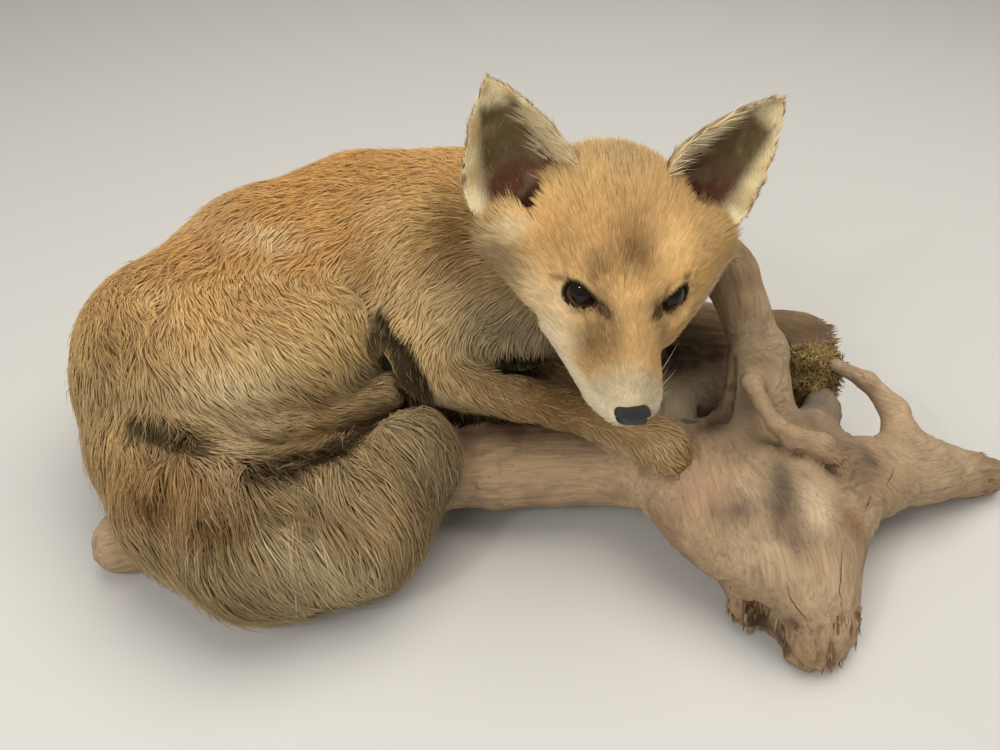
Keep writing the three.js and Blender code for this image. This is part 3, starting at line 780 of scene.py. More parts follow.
# Marks of the face, in head coordinates, painted light on the right cheek among them.
FACE_MARKS = {
    "brown forehead": ((1, 15, 24), (12, 22, 12), (0.33, 0.19, 0.075), 0.7),
    "spot between the brows": ((0, 5, 19), (11, 11, 10), (0.15, 0.075, 0.022), 0.88),
    "brow spot": ((-17, 0, 13), (6, 9, 6), (0.19, 0.10, 0.034), 0.8),
    "grey crown": ((0, 56, 38), (46, 24, 18), (0.37, 0.26, 0.125), 0.85),
    "pale brow right": ((-34, 14, 12), (13, 15, 12), (0.49, 0.285, 0.108), 0.85),
    "pale brow left": ((22, 12, 17), (14, 14, 12), (0.92, 0.65, 0.31), 0.75),
    "dull side of the crown": ((44, 34, 10), (12, 18, 14), (0.46, 0.32, 0.15), 0.6),
    "pale bridge": ((-4, -12, 6), (7, 11, 7), (0.80, 0.54, 0.25), 0.7),
    "brown muzzle right": ((-19, -24, -10), (12, 11, 11), (0.20, 0.108, 0.04), 0.95),
    "brown middle of the muzzle": ((-12, -28, -4), (8, 12, 8), (0.25, 0.14, 0.055), 0.85),
    "brown below the tear": ((-11, -21, -1), (6, 7, 6), (0.25, 0.14, 0.055), 0.85),
    "tan muzzle": ((3, -27, -3), (9, 14, 8), (0.42, 0.27, 0.12), 0.65),
    "tan muzzle left": ((15, -22, -8), (7, 14, 10), (0.46, 0.29, 0.135), 0.8),
    "tear right": ((-13.5, -11, 2), (4, 5, 4), (0.09, 0.055, 0.035), 0.85),
    "tear left": ((11.5, -12, 2), (5, 6, 5), (0.12, 0.075, 0.045), 0.85),
    # Pale cheek fur made lighter still: painted light where the cheek turns from the lamps.
    "pale cheek right with painted light": ((-38, 3, -12), (16, 15, 16), (1.0, 0.76, 0.42), 0.92),
    "white cheek right": ((-31, -12, -24), (10, 16, 12), (0.95, 0.82, 0.56), 0.9),
    "brown before the ear": ((-54, 18, -8), (9, 11, 12), (0.24, 0.155, 0.068), 0.85),
    "pale patch under the ear": ((-56, 33, 5), (10, 9, 8), (0.74, 0.62, 0.40), 0.85),
    "grey behind the cheek": ((-60, 30, -26), (14, 22, 20), (0.31, 0.25, 0.145), 0.85),
}
# Lines that run out from the eyes, in head coordinates with their half widths: the first two are folds from
# the outer corners, painted dark as shade, and the last two are dark tear marks.
FACE_LINES = (
    ((-47, 11, 0, 1.2), (-38, 6, 3, 1.7), (-31, 2, 5, 2.0)),
    ((28, 3, 9.5, 1.9), (36, 7, 7, 1.6), (44, 11, 0, 1.2)),
    ((-19, -4, -1, 1.6), (-14, -11, 1, 2.0), (-11, -18, 1, 1.6)),
    ((18, -5, -1, 1.6), (13, -12, 1, 2.0), (10, -18, 1, 1.5)),
)
# The coat's colour on each part but the head.
BASE_COLOURS = {
    "trunk": GINGER, "neck": GINGER, "chest": GREY, "shoulder_right": SAND, "shoulder_left": SAND,
    "thigh_right": SAND, "thigh_left": SAND, "hind_foot_right": (0.19, 0.112, 0.04),
    "hind_foot_left": GINGER, "foreleg_right": (0.34, 0.208, 0.083),
    "foreleg_left": (0.25, 0.145, 0.055), "tail": BUFF,
}


def marked(colour, p, marks, share=1):
    """A colour with soft marks laid over it."""
    for centre, reach, tone, strength in marks.values():
        colour = mix(colour, tone, strength * share * near(p, centre, reach))
    return colour


def coat_colour(p, n):
    """Linear colour of the coat at bench points with outward normals n."""
    w = shares(distances(p), 8)
    q = to_head(p)
    colour = np.zeros((len(p), 3), np.float32)
    for i, name in enumerate(PART_NAMES):
        tone = face_colour(q) if name == "head" else np.array(BASE_COLOURS[name], np.float32)
        colour += w[i][:, None] * tone
    low = ramp(-n[:, 2], -0.5, 0.6)
    off_face = 1 - w[HEAD_PART]
    on_tail = w[TAIL_PART]
    colour = mix(colour, CREAM, 0.3 * low * off_face * (1 - on_tail))
    blotch = fractal(p / 34, 21)
    colour = mix(colour, CREAM, 0.4 * ramp(blotch, 0.05, 0.6) * off_face)
    colour = mix(colour, RUST, 0.35 * ramp(-blotch, 0.1, 0.7) * off_face)
    colour = marked(colour, p, COAT_MARKS, 1 - on_tail)
    colour = marked(colour, p, TAIL_MARKS, on_tail)
    # Painted shade in the gaps between the toes.
    for paw in PAWS.values():
        toes = toe_places(paw)
        for one, other in zip(toes, toes[1:]):
            between = near(p, (one + other) / 2 + unit(paw["ahead"]) * 2, (1.6, 1.6, 8))
            colour = mix(colour, DARK, 0.7 * between)
    # Painted shade: the coat is darkened in the deep gaps between the parts.
    colour = mix(colour, GAP_SHADE, 0.95 * ramp(-gap(p), -6, -1))
    return colour * (1 + 0.10 * fractal(p / 9, 22))[:, None]


def face_colour(q):
    """Linear colour of the head's coat, ears left out."""
    colour = np.broadcast_to(np.array(FACE_GOLD, np.float32), q.shape).copy()
    colour = mix(colour, FACE_GINGER, 0.5 * ramp(fractal(q / 14, 23), -0.1, 0.4))
    cheek = ramp(np.abs(q[:, 0]), 24, 44) * ramp(-q[:, 2], -2, 16)
    colour = mix(colour, CHEEK, 0.75 * cheek)
    colour = marked(colour, q, FACE_MARKS)
    # Dark tear marks, and painted shade in the folds from the eyes' outer corners.
    for line in FACE_LINES:
        colour = mix(colour, EYE_LINE_AND_FOLD_SHADE, 0.9 * ramp(-chain(q, line, 1), -1.8, 0.2))
    muzzle_end = ramp(-q[:, 1], 33, 46)
    colour = mix(colour, MUZZLE_END, 0.9 * muzzle_end)
    lips = ramp(-q[:, 2] - 0.10 * q[:, 1], 21, 26) * ramp(-q[:, 1], -24, 6)
    colour = mix(colour, LIPS, 0.9 * lips)
    return colour


# ---------------------------------------------------------------- hair
def scattered(points, normals, faces, density):
    """Random places on quads, so many to a square millimetre, and the normals there."""
    a, b, c, d = (points[faces[:, k]] for k in range(4))
    area = 0.5 * np.linalg.norm(np.cross(c - a, d - b), axis=1)
    expected = area * density
    number = np.floor(expected + random.random(len(expected))).astype(int)
    face = np.repeat(np.arange(len(faces)), number)
    s, t = random.random((2, len(face))).astype(np.float32)
    weights = np.stack([(1 - s) * (1 - t), s * (1 - t), s * t, (1 - s) * t], 1)
    corners = faces[face]

    def there(values):
        return sum(values[corners[:, k]] * weights[:, k:k + 1] for k in range(4))

    return there(points), there(normals)


def tapered(width, shape):
    """Widths along strands: a width for each, times a shape from root to tip."""
    return np.asarray(width)[:, None] * np.array(shape, float)[None]


def any_places(n):
    """Random places on the OFBake map, for strands without a skin to unwrap."""
    return random.random((n, 2)) * 0.9 + 0.05


def strand_faces(n, k):
    """Triangles of n closed three-sided strands, each with k joints and a point at its tip."""
    one = [[0, 1, 2]]
    for r in range(k - 2):
        for i in range(3):
            a, b = 3 * r + i, 3 * r + (i + 1) % 3
            one += [[a, b + 3, b], [a, a + 3, b + 3]]
    last = 3 * (k - 2)
    tip = last + 3
    one += [[last + (i + 1) % 3, last + i, tip] for i in range(3)]
    return (np.array(one)[None] + (np.arange(n) * (tip + 1))[:, None, None]).reshape(-1, 3)


def shade_as(obj, points, faces, outward):
    """Shades the corners by outward directions, turned to the side that their faces look to."""
    shown = unit(outward)[faces]
    a, b, c = (points[faces[:, i]] for i in range(3))
    flat = unit(np.cross(b - a, c - a))[:, None, :]
    away = np.minimum((shown * flat).sum(-1, keepdims=True) - 0.2, 0)
    obj.data.normals_split_custom_set(unit(shown - away * flat).reshape(-1, 3).astype(np.float32))


def bake_places(obj, faces, bake, k):
    """The OFBake map: each strand is one small patch at its own place."""
    across = np.concatenate([np.tile([-1.0, 1.0, 0.0], k - 1), [0.0]])
    down = np.concatenate([np.repeat(np.linspace(-1, 1, k)[:-1], 3), [1.0]])
    patch = bake[:, None, :] + PATCH / 2 * np.stack([across, down], 1)[None]
    layer = obj.data.uv_layers.new(name="OFBake")
    layer.data.foreach_set("uv", patch.reshape(-1, 2)[faces.ravel()].astype(np.float32).ravel())


def strand_mesh(name, spines, widths, normals, colours, bake):
    """Solid tapered strands: spines n by k by 3, widths n by k, a normal and an OFBake place each."""
    n, k = spines.shape[:2]
    ahead = unit(np.gradient(spines, axis=1))
    side = unit(np.cross(ahead, normals[:, None, :]))
    top = np.cross(side, ahead)
    half = widths[..., None] / 2
    rings = np.stack([spines - side * half, spines + side * half, spines + top * half * 0.8], 2)
    points = np.concatenate([rings[:, :-1].reshape(n, -1, 3), spines[:, -1:]], 1).reshape(-1, 3)
    faces = strand_faces(n, k)
    obj = mesh_object(name, points, faces)
    tints_at = np.concatenate([np.repeat(colours[:, :-1], 3, axis=1), colours[:, -1:]], 1)
    paint(obj, tints_at.reshape(-1, 3))
    outward = np.stack([-side * 0.3, side * 0.3, top * 0.3], 2)[:, :-1].reshape(n, -1, 3)
    outward = np.concatenate([outward, top[:, -1:] * 0.3], 1) + normals[:, None, :]
    shade_as(obj, points, faces, outward.reshape(-1, 3))
    bake_places(obj, faces, bake, k)
    return obj


def lock_of(roots, guides):
    """The guide nearest to each root."""
    tree = KDTree(len(guides))
    for i, g in enumerate(guides):
        tree.insert(g, i)
    tree.balance()
    return np.array([tree.find(r)[1] for r in roots])


def swayed(way, n, angle):
    """Directions turned about the normals."""
    way = unit(way - (way * n).sum(1, keepdims=True) * n)
    return way * np.cos(angle)[:, None] + np.cross(n, way) * np.sin(angle)[:, None]


def long_spines(steer, roots, normals, length, depth, rise):
    """Hairs that follow the lie of the coat and climb to its surface; rise is a share of its depth."""
    spines = [roots - 0.8 * normals]
    place = roots
    sway = 0.6 * noise(roots / 14, 5) + 0.5 * noise(roots / 4.5, 6)
    for share in rise:
        n = unit(steer.read(steer.normal, place))
        way = swayed(steer.read(steer.lie, place), n, sway)
        place = place + way * (length / len(rise))[:, None]
        height = depth * share
        place = place + n * (height - steer.read(steer.distance, place))[:, None]
        place[:, 2] = np.maximum(place[:, 2], 0.6)
        spines.append(place)
    return np.stack(spines, 1)


def short_spines(roots, normals, way, length, depth):
    """Short straight hairs that lie flat."""
    tip = roots + way * length[:, None] + normals * (depth * 0.95)[:, None]
    return np.stack([roots - 0.3 * normals, tip], 1)


def tints(colour, joints, lock_light, root_shade=0.86):
    """Colours along each hair: darker at the root, each hair a little different."""
    n = len(colour)
    light = 1 + 0.06 * lock_light + 0.06 * random.standard_normal(n)
    kind = random.random(n)
    colour = np.where((kind < 0.12)[:, None], mix(colour, CREAM, 0.25), colour)
    colour = np.where((kind > 0.96)[:, None], mix(colour, BROWN, 0.3), colour)
    shade = np.interp(np.linspace(0, 1, joints), (0, 1), (root_shade, 1.1))
    return colour[:, None, :] * np.clip(light, 0.5, 1.5)[:, None, None] * shade[None, :, None]


def unwrapped(p, stations):
    """Places on an unwrap of the skin round a run of stations: share of its length and of a turn."""
    run, off, ahead = beside(p, stations)
    side = unit(np.cross(ahead, (0.13, 0.21, 0.97)))
    turn = np.arctan2((off * side).sum(1), (off * np.cross(side, ahead)).sum(1)) / (2 * np.pi) + 0.5
    length = sum(np.linalg.norm(np.subtract(b[:3], a[:3])) for a, b in zip(stations, stations[1:]))
    return np.clip(np.stack([(run + 45) / (length + 90), turn], 1), 0, 1) * 0.96 + 0.02


# The stations round which each part of the skin is unwrapped.
UNWRAPS = {
    "trunk": TRUNK, "neck": NECK, "chest": CHEST, "shoulder_right": SHOULDER_RIGHT, "thigh_right": HAUNCH,
    "thigh_left": THIGH_LEFT, "shoulder_left": SHOULDER_LEFT, "hind_foot_right": FOOT_RIGHT,
    "hind_foot_left": FOOT_LEFT, "foreleg_right": ARM_RIGHT, "foreleg_left": ARM_LEFT, "tail": TAIL,
}
# Coats of long hair: the parts of each, hairs to a square millimetre, size of a lock, width of a hair,
# and the share of the coat's depth that a hair has reached at each of its steps.
LONG_COATS = {
    "coat_trunk": (["trunk"], 0.42, 5, 0.66, (0.8, 1.0)),
    "coat_neck": (["neck", "chest", "shoulder_right", "shoulder_left"], 0.44, 5, 0.66, (0.8, 1.0)),
    "coat_thighs": (["thigh_right", "thigh_left"], 0.50, 5, 0.66, (0.8, 1.0)),
    "coat_tail": (["tail"], 0.74, 5, 0.62, (0.75, 1.0)),
    "coat_feet": (["hind_foot_right", "hind_foot_left", "foreleg_right", "foreleg_left"],
                  0.72, 4, 0.57, (0.7, 1.0)),
}
CLUMP = 0.25                                     # how far a lock's tips are drawn together
THINNING = 0.45                                  # share of the hairs left out inside the gaps
FRINGE_BOX = ((-62, 384, 40), (36, 430, 74))     # where the belly fringe has its roots
FRINGE_HAIR = 22
# The fringe's hair is dark as painted shade under the foreleg and chest.
FRINGE_SHADE = (0.075, 0.046, 0.02)


def unwrapped_each(roots, members):
    """OFBake places on some parts of the skin: the unwrap of each part fills a band of the map."""
    nearest = distances(roots)[[PART_NAMES.index(m) for m in members]].argmin(0)
    place = np.zeros((len(roots), 2))
    for i, member in enumerate(members):
        mine = nearest == i
        place[mine] = (unwrapped(roots[mine], UNWRAPS[member]) + (0, i)) / (1, len(members))
    return place


def pieces_of(name, spines, widths, normals, colours, bake):
    """Strand meshes of a coat, divided so that none has too many triangles."""
    each = 6 * (spines.shape[1] - 2) + 4
    parts = max(1, math.ceil(len(spines) * each / MOST_TRIANGLES))
    for i in range(parts):
        pick = slice(len(spines) * i // parts, len(spines) * (i + 1) // parts)
        obj = strand_mesh(f"{name}_{i + 1}", *(a[pick] for a in (spines, widths, normals, colours, bake)))
        dress(obj, "coat", "coat")


def coat_long(name, members, density, lock_size, width, rise):
    """The coat of some parts of the body, in locks that taper to their tips."""
    chosen = np.isin(owner, [PART_NAMES.index(m) for m in members]) & ~on_head
    roots, normals = scattered(skin_points, skin_normals, skin_quads[chosen], density)
    keep = (roots[:, 2] > 3) & (wood(roots + 2 * normals) > 0)
    keep &= random.random(len(roots)) > THINNING * ramp(-gap(roots), -4, 0)
    roots, normals = roots[keep], unit(normals[keep])
    n = len(roots)
    guides = random.permutation(n)[:max(8, int(n / (density * lock_size ** 2)))]
    lock = lock_of(roots, roots[guides])
    depth, length = coat_at(roots)
    # Hairs differ in size and in how high they lie, and a few fly out above the others.
    wild = np.clip(1 + 0.16 * random.standard_normal(n), 0.6, 1.5)
    fly = np.where(random.random(n) < 0.05, 1.35, 1.0)
    level = 1.05 - 0.6 * random.random(n) ** 1.3
    spines = long_spines(steer, roots, normals, length * wild, depth * level * fly, rise)
    # The tips of a lock are drawn toward its guide, those of the flying hairs less.
    pull = CLUMP * np.linspace(0, 1, spines.shape[1]) ** 1.4
    loose = np.where(fly > 1, 0.2, 1) * (0.6 + 0.4 * random.random(n))
    spines += (spines[guides][lock] - spines) * pull[None, :, None] * loose[:, None, None]
    lock_light = random.standard_normal(len(guides))[lock]
    colours = tints(coat_colour(spines[:, -2], normals), spines.shape[1], lock_light)
    profile = np.interp(np.linspace(0, 1, spines.shape[1]), (0, 0.3, 0.75, 1), (0.7, 1, 0.75, 0))
    bake = unwrapped_each(roots, members)
    pieces_of(name, spines, tapered(width * wild, profile), normals, colours, bake)


def belly_fringe():
    """Hair that hangs from the underside of the right foreleg and chest on to the wood, dark as painted
    shade under them.
    """
    middles = skin_points[skin_quads].mean(1)
    low, high = np.array(FRINGE_BOX, np.float32)
    chosen = ((middles > low) & (middles < high)).all(1) & (skin_normals[skin_quads[:, 0], 2] < 0.1)
    roots, normals = scattered(skin_points, skin_normals, skin_quads[chosen], 1.3)
    normals = unit(normals)
    n = len(roots)
    way = unit(np.array((0.25, 0.05, -1.0)) + 0.2 * random.standard_normal((n, 3)))
    size = FRINGE_HAIR * (0.6 + 0.5 * random.random(n))
    spines = np.stack([roots - 0.5 * normals, roots + way * size[:, None]], 1)
    spines[:, 1, 2] = np.maximum(spines[:, 1, 2], 1)
    colours = tints(np.tile(FRINGE_SHADE, (n, 1)), 2, np.zeros(n))
    widths = tapered(np.full(n, 0.7), (1, 0))
    pieces_of("coat_fringe", spines, widths, normals, colours, unwrapped(roots, ARM_RIGHT))


def coat_head(density):
    """The short hair of the head."""
    roots, normals = scattered(skin_points, skin_normals, skin_quads[on_head & ~on_ear], density)
    normals = unit(normals)
    q = to_head(roots)
    bare = np.min([np.linalg.norm(q - eye_place(s), axis=1) for s in (-1, 1)], axis=0) < EYE_RADIUS + 2.1
    bare |= nose_pad(q) < 0.9
    bare |= np.min([ear_hollow(q, ear) for ear in EARS.values()], axis=0) < 0.8
    bare |= np.min([chain(q, line, 1) for line in FACE_LINES[:2]], axis=0) < 0.6
    thin = ramp(q[:, 1], 5, 60)
    keep = ~bare & (random.random(len(q)) > 0.55 * thin)
    roots, normals, q = roots[keep], normals[keep], q[keep]
    n = len(roots)
    guides = random.permutation(n)[:n // 9]
    lock = lock_of(roots, roots[guides])
    depth, length = coat_at(roots)
    wild = np.clip(1 + 0.18 * random.standard_normal(n), 0.6, 1.5)
    way = swayed(lie(roots), normals, 0.3 * noise(roots / 9, 7) + 0.25 * noise(roots / 3, 8))
    spines = short_spines(roots, normals, way, length * wild, depth * wild)
    spines[:, 1] += (spines[guides][lock, 1] - spines[:, 1]) * 0.3
    # Behind the cheeks the tips are lowered to the outline.
    below = unit(steer.read(steer.normal, spines[:, 1]))
    lower = depth * wild * 0.95 - steer.read(steer.distance, spines[:, 1])
    spines[:, 1] += below * (ramp(q[:, 1], 30, 60) * np.minimum(lower, 0))[:, None]
    normals = unit(normals + below)
    colours = tints(coat_colour(roots, normals), 2, random.standard_normal(len(guides))[lock], 0.9)
    widths = tapered(0.30 + 0.025 * length * wild, (1, 0))
    turn = np.arctan2(q[:, 0], q[:, 2] + 15) / (2 * np.pi) + 0.5
    bake = np.stack([(q[:, 1] + 65) / 175, turn], 1) * 0.96 + 0.02
    pieces_of("coat_head", spines, widths, normals, colours, bake)


def ear_colour(u, s, inner, q):
    """Colour of an ear: dark cup, reddish foot, pale rim and tip, brown back."""
    cup = mix((0.15, 0.102, 0.045), (0.145, 0.058, 0.031), ramp(-u, -0.42, -0.12))
    cup = mix(cup, (0.27, 0.205, 0.115), 0.5 * ramp(noise(q / 7, 32), 0.0, 0.6))
    rim = np.maximum(ramp(np.abs(s), 0.55, 0.85), ramp(u, 0.72, 0.86))
    pale = mix((0.82, 0.64, 0.36), (1.0, 0.86, 0.54), ramp(noise(q / 8, 33), -0.5, 0.3))
    inside = mix(cup, pale, rim)
    back = mix((0.50, 0.34, 0.155), (0.26, 0.18, 0.10), ramp(u, 0.3, 0.8) * 0.7)
    worn = 0.7 * ramp(np.abs(s), 0.88, 0.99) * ramp(noise(q / 5, 34), 0.0, 0.3)
    return mix(mix(back, inside, inner), (0.09, 0.055, 0.03), worn) * (1 + 0.15 * noise(q / 5, 31))[:, None]


def coat_ears(density):
    """Hair of the ears: short on the back and rim, long and pale over the inner edge."""
    roots, normals = scattered(skin_points, skin_normals, skin_quads[on_ear], density)
    normals = unit(normals)
    q = to_head(roots)
    spines, widths, outward, colours, bake = [], [], [], [], []
    for index, ear in enumerate(EARS.values()):
        mine = np.sign(q[:, 0]) == (-1 if index == 0 else 1)
        qi, ni, ri = q[mine], normals[mine], roots[mine]
        u, s, depth = ear_place(qi, ear)
        _, up, across, out = ear_frame(ear)
        inside = in_cup(ni, depth, ear) > 0.5
        medial = s * np.sign(across[0]) * (1 if index == 0 else -1)
        edge = ramp(np.abs(s), 0.45, 0.8)
        chance = np.where(inside, 0.12 + 0.88 * np.maximum(edge, ramp(u, 0.75, 0.9)), 1.0)
        keep = random.random(len(qi)) < chance
        long = inside & (medial > 0.35) & (u < 0.62)
        length = np.where(long, 11.0, np.where(inside, 4.0, 4.2)) * (0.7 + 0.6 * random.random(len(qi)))
        lift = np.where(long, 2.6, np.where(inside, 1.3, 0.9))
        inward = -np.sign(s)[:, None] * across[None]
        over = 0.75 * up + 0.65 * inward + 0.1 * out
        way = np.where(long[:, None], over, np.where(inside[:, None], up + 0.45 * inward, up + 0 * inward))
        way = unit(way) @ HEAD_AXES.T
        way = swayed(way, ni, 0.35 * noise(qi / 5, 41) + 0.15 * random.standard_normal(len(qi)))
        tone = ear_colour(u, s, in_cup(ni, depth, ear), qi)
        tone = np.where(long[:, None], mix(tone, (0.70, 0.565, 0.35), 0.8), tone)
        line = short_spines(ri, ni, way, length, lift)
        spines.append(line[keep])
        widths.append(tapered(np.where(long, 0.55, 0.42)[keep], (1, 0)))
        colours.append(tints(tone, 2, np.zeros(len(qi)), 0.85)[keep])
        place = [0.25 + 0.5 * index + 0.22 * np.clip(s, -1, 1), np.clip(u, -0.2, 1) * 0.7 + 0.2]
        bake.append(np.stack(place, 1)[keep])
        outward.append(ni[keep])
    joined = [np.concatenate(a) for a in (spines, widths, outward, colours, bake)]
    pieces_of("coat_ears", *joined)


def make_skin():
    """The one skin of the fox, painted like the coat over it."""
    obj = mesh_object("skin", skin_points, skin_quads)
    colour = coat_colour(skin_points, skin_normals)
    q = to_head(skin_points)
    for ear in EARS.values():
        u, s, depth = ear_place(q, ear)
        inner = in_cup(skin_normals, depth, ear)
        here = ramp(-np.abs(ear_shell(q, ear)), -2.0, -1.0) * ramp(u, -0.22, -0.08)
        # Painted shade in the hole at the foot of the ear.
        hollow = ramp(-ear_hollow(q, ear), -1.5, 0)
        colour = mix(colour, ear_colour(u, s, inner, q), here)
        colour = mix(colour, EAR_HOLE_SHADE, hollow)
    on_face = shares(distances(skin_points))[HEAD_PART]
    colour = colour * (0.9 + 0.06 * on_face * ramp(-q[:, 1], -60, -20))[:, None]
    for side in (-1, 1):
        off_eye = np.linalg.norm(q - eye_place(side), axis=1) - EYE_RADIUS
        rim = ramp(-np.abs(eye_opening(q, side)), -0.34, -0.12) * ramp(-off_eye, -2.6, -1.8)
        colour = mix(colour, DARK, rim)
    # Darker by the depth of the face's grooves: the lip line's own dark skin, and painted shade in the other
    # grooves.
    folds = np.clip(face_folds(q) / 1.2, 0, 1) * (np.abs(q).max(1) < 90)
    colour = mix(colour, LIP_LINE_AND_FOLD_SHADE, 0.8 * folds)
    paint(obj, colour)
    dress(obj, "skin", "coat", *[n for n in FOX_NODES if n not in ("eye_right", "eye_left", "nose")])


# ---------------------------------------------------------------- materials
def new_material(name):
    """A material, and the function that adds a node to it.

    An input of the node takes a value or another node's output, and a setting is set as it is named.
    """
    material = bpy.data.materials.new(name)
    material.use_nodes = True
    tree = material.node_tree
    tree.nodes.clear()

    def add(kind, inputs=None, **settings):
        node = tree.nodes.new("ShaderNode" + kind)
        for key, value in settings.items():
            setattr(node, key, value)
        for key, value in (inputs or {}).items():
            if isinstance(value, bpy.types.NodeSocket):
                tree.links.new(value, node.inputs[key])
            else:
                node.inputs[key].default_value = value
        return node.outputs

    return material, add


def tint(add, light=None):
    """The mesh's colours, made lighter and darker by a factor where there is one."""
    colour = add("Attribute", attribute_name="tint")["Color"]
    if light is None:
        return colour
    return add("VectorMath", {0: colour, "Scale": light}, operation="SCALE")["Vector"]


def fine_noise(add, scale, detail):
    """Noise that is fixed to the object."""
    place = add("TexCoord")["Object"]
    return add("TexNoise", {"Scale": scale, "Detail": detail, "Vector": place})["Fac"]


def stretched(add, value, low, high, start=0, end=1):
    """A value's span from start to end, stretched to low and high."""
    limits = {"From Min": start, "From Max": end, "To Min": low, "To Max": high}
    return add("MapRange", {"Value": value, **limits})["Result"]


def relief_of(add, height, strength, distance):
    """The normal of a fine bump."""
    return add("Bump", {"Strength": strength, "Distance": distance, "Height": height})["Normal"]


def surface(add, colour, roughness, specular, normal=None):
    """The shader that the other nodes lead to."""
    inputs = {"Base Color": colour, "Roughness": roughness, "Specular IOR Level": specular}
    if normal is not None:
        inputs["Normal"] = normal
    add("OutputMaterial", {"Surface": add("BsdfPrincipled", inputs)["BSDF"]})


def coat_material():
    """Hair: the tint of the mesh with a fine change of lightness."""
    material, add = new_material("coat")
    light = stretched(add, fine_noise(add, 260, 2), 0.86, 1.14)
    surface(add, tint(add, light), 0.62, 0.16)
    return material


def skin_material():
    """Skin with very short hair: the tint, fine streaks and a fine bump."""
    material, add = new_material("skin")
    fine = fine_noise(add, 900, 3)
    light = stretched(add, fine, 0.7, 1.2)
    surface(add, tint(add, light), 0.7, 0.2, relief_of(add, fine, 0.5, 0.0006))
    return material


def wood_material():
    """Bare weathered wood: streaks of grain and fine cracks along the branch."""
    material, add = new_material("driftwood")
    grain = add("Attribute", attribute_name="grain")["Vector"]
    streaks = add("TexNoise", {"Scale": 0.55, "Detail": 4, "Roughness": 0.55, "Vector": grain})["Fac"]
    light = stretched(add, streaks, 0.80, 1.14, 0.3, 0.7)
    cracks = add("TexNoise", {"Scale": 0.33, "Detail": 3, "Vector": grain})["Fac"]
    from_middle = add("Math", {0: cracks, 1: 0.5}, operation="SUBTRACT")["Value"]
    off_crack = add("Math", {0: from_middle}, operation="ABSOLUTE")["Value"]
    dark = stretched(add, off_crack, 0.72, 1.0, 0.0, 0.012)
    both = add("Math", {0: light, 1: dark}, operation="MULTIPLY")["Value"]
    surface(add, tint(add, both), 0.66, 0.3, relief_of(add, both, 0.6, 0.0009))
    return material


def plain_material(name, roughness, specular=0.5, colour=None, bump_size=0, bump_scale=800):
    """A material that takes the mesh's tint, or one colour, with a fine bump where asked."""
    material, add = new_material(name)
    normal = None
    if bump_size:
        cells = add("TexVoronoi", {"Scale": bump_scale, "Vector": add("TexCoord")["Object"]})["Distance"]
        normal = relief_of(add, cells, 0.6, bump_size)
    surface(add, tint(add) if colour is None else (*colour, 1), roughness, specular, normal)
    return material


# ---------------------------------------------------------------- driftwood root
# Branches: name, stations on the bench, softness of the joint with those before it, softness between
# its own stations, and roughness.
BRANCHES = (
    ("stem", ((70, 378, 42, 26), (0, 379, 38, 24), (-120, 362, 30, 24), (-206, 335, 18, 17)), 0, 10, 1),
    ("hub", ((140, 400, 46, 30), (146, 330, 44, 30)), 20, 8, 1),
    ("lobe", ((148, 335, 46, 32), (154, 305, 28, 30), (162, 285, 14, 20)), 18, 8, 1),
    ("prong", ((138, 325, 38, 22), (131, 300, 14, 11)), 8, 8, 0.8),
    ("spike", ((185, 362, 38, 28), (242, 385, 31, 20), (296, 400, 13, 14)), 18, 8, 1),
    ("arch_front", ((148, 390, 55, 24), (146, 413, 95, 15), (130, 440, 130, 15), (112, 458, 146, 14)),
     12, 6, 0.8),
    ("arch_back", ((112, 462, 142, 12), (92, 490, 80, 16)), 12, 6, 0.7),
    ("under", ((188, 462, 62, 22), (120, 480, 56, 24), (10, 508, 42, 26), (-48, 520, 24, 24)), 10, 8, 1),
    ("loop", ((202, 434, 70, 3.5), (219, 424, 66, 5), (234, 411, 54, 8), (236, 392, 42, 13)), 8, 4, 0.25),
    ("back_plate", ((196, 426, 48, 9), (192, 414, 50, 10), (182, 396, 50, 16)), 8, 6, 0.4),
    ("twig", ((140, 400, 86, 6), (138, 388, 91, 5), (140, 372, 90, 4), (144, 358, 88, 4.5),
              (152, 348, 87, 5.5), (166, 346, 84, 6), (174, 341, 79, 4.5)), 4, 4, 0.3),
)
HUB = ((142, 352, 42), (62, 56, 32))
HUB_PLATE = ((100, 385, 40, 16), (104, 422, 38, 15), (103, 446, 37, 13), (138, 438, 44, 16))
MOSS = ((189, 444, 55), (25, 20, 27))            # middle and half sizes
# Broken ends: middle and reach.
BROKEN_ENDS = (((296, 400, 13), 24), ((162, 280, 10), 24), ((131, 298, 12), 14), ((176, 340, 78), 10),
               ((188, 462, 62), 20), ((-48, 520, 24), 18))


def branch_distance(p, branch):
    name, stations, _, blend, _ = branch
    if name == "hub":
        return smooth(blob(p, *HUB), chain(p, HUB_PLATE, 8), 12)
    return chain(p, stations, blend)


def wood(p):
    """Distance to the root without its fine relief."""
    d = branch_distance(p, BRANCHES[0])
    for branch in BRANCHES[1:]:
        d = smooth(d, branch_distance(p, branch), branch[2])
    return d


def grain_of(p):
    """Grain coordinates, squeezed along the branch, and each branch's share of a point."""
    each = np.stack([branch_distance(p, branch) for branch in BRANCHES])
    w = shares(each, 9)
    total = np.zeros_like(p)
    for i, branch in enumerate(BRANCHES):
        run, off, ahead = beside(p, branch[1])
        total += w[i][:, None] * (off + ahead * (run / 16)[:, None] + 17.0 * i)
    return total, w


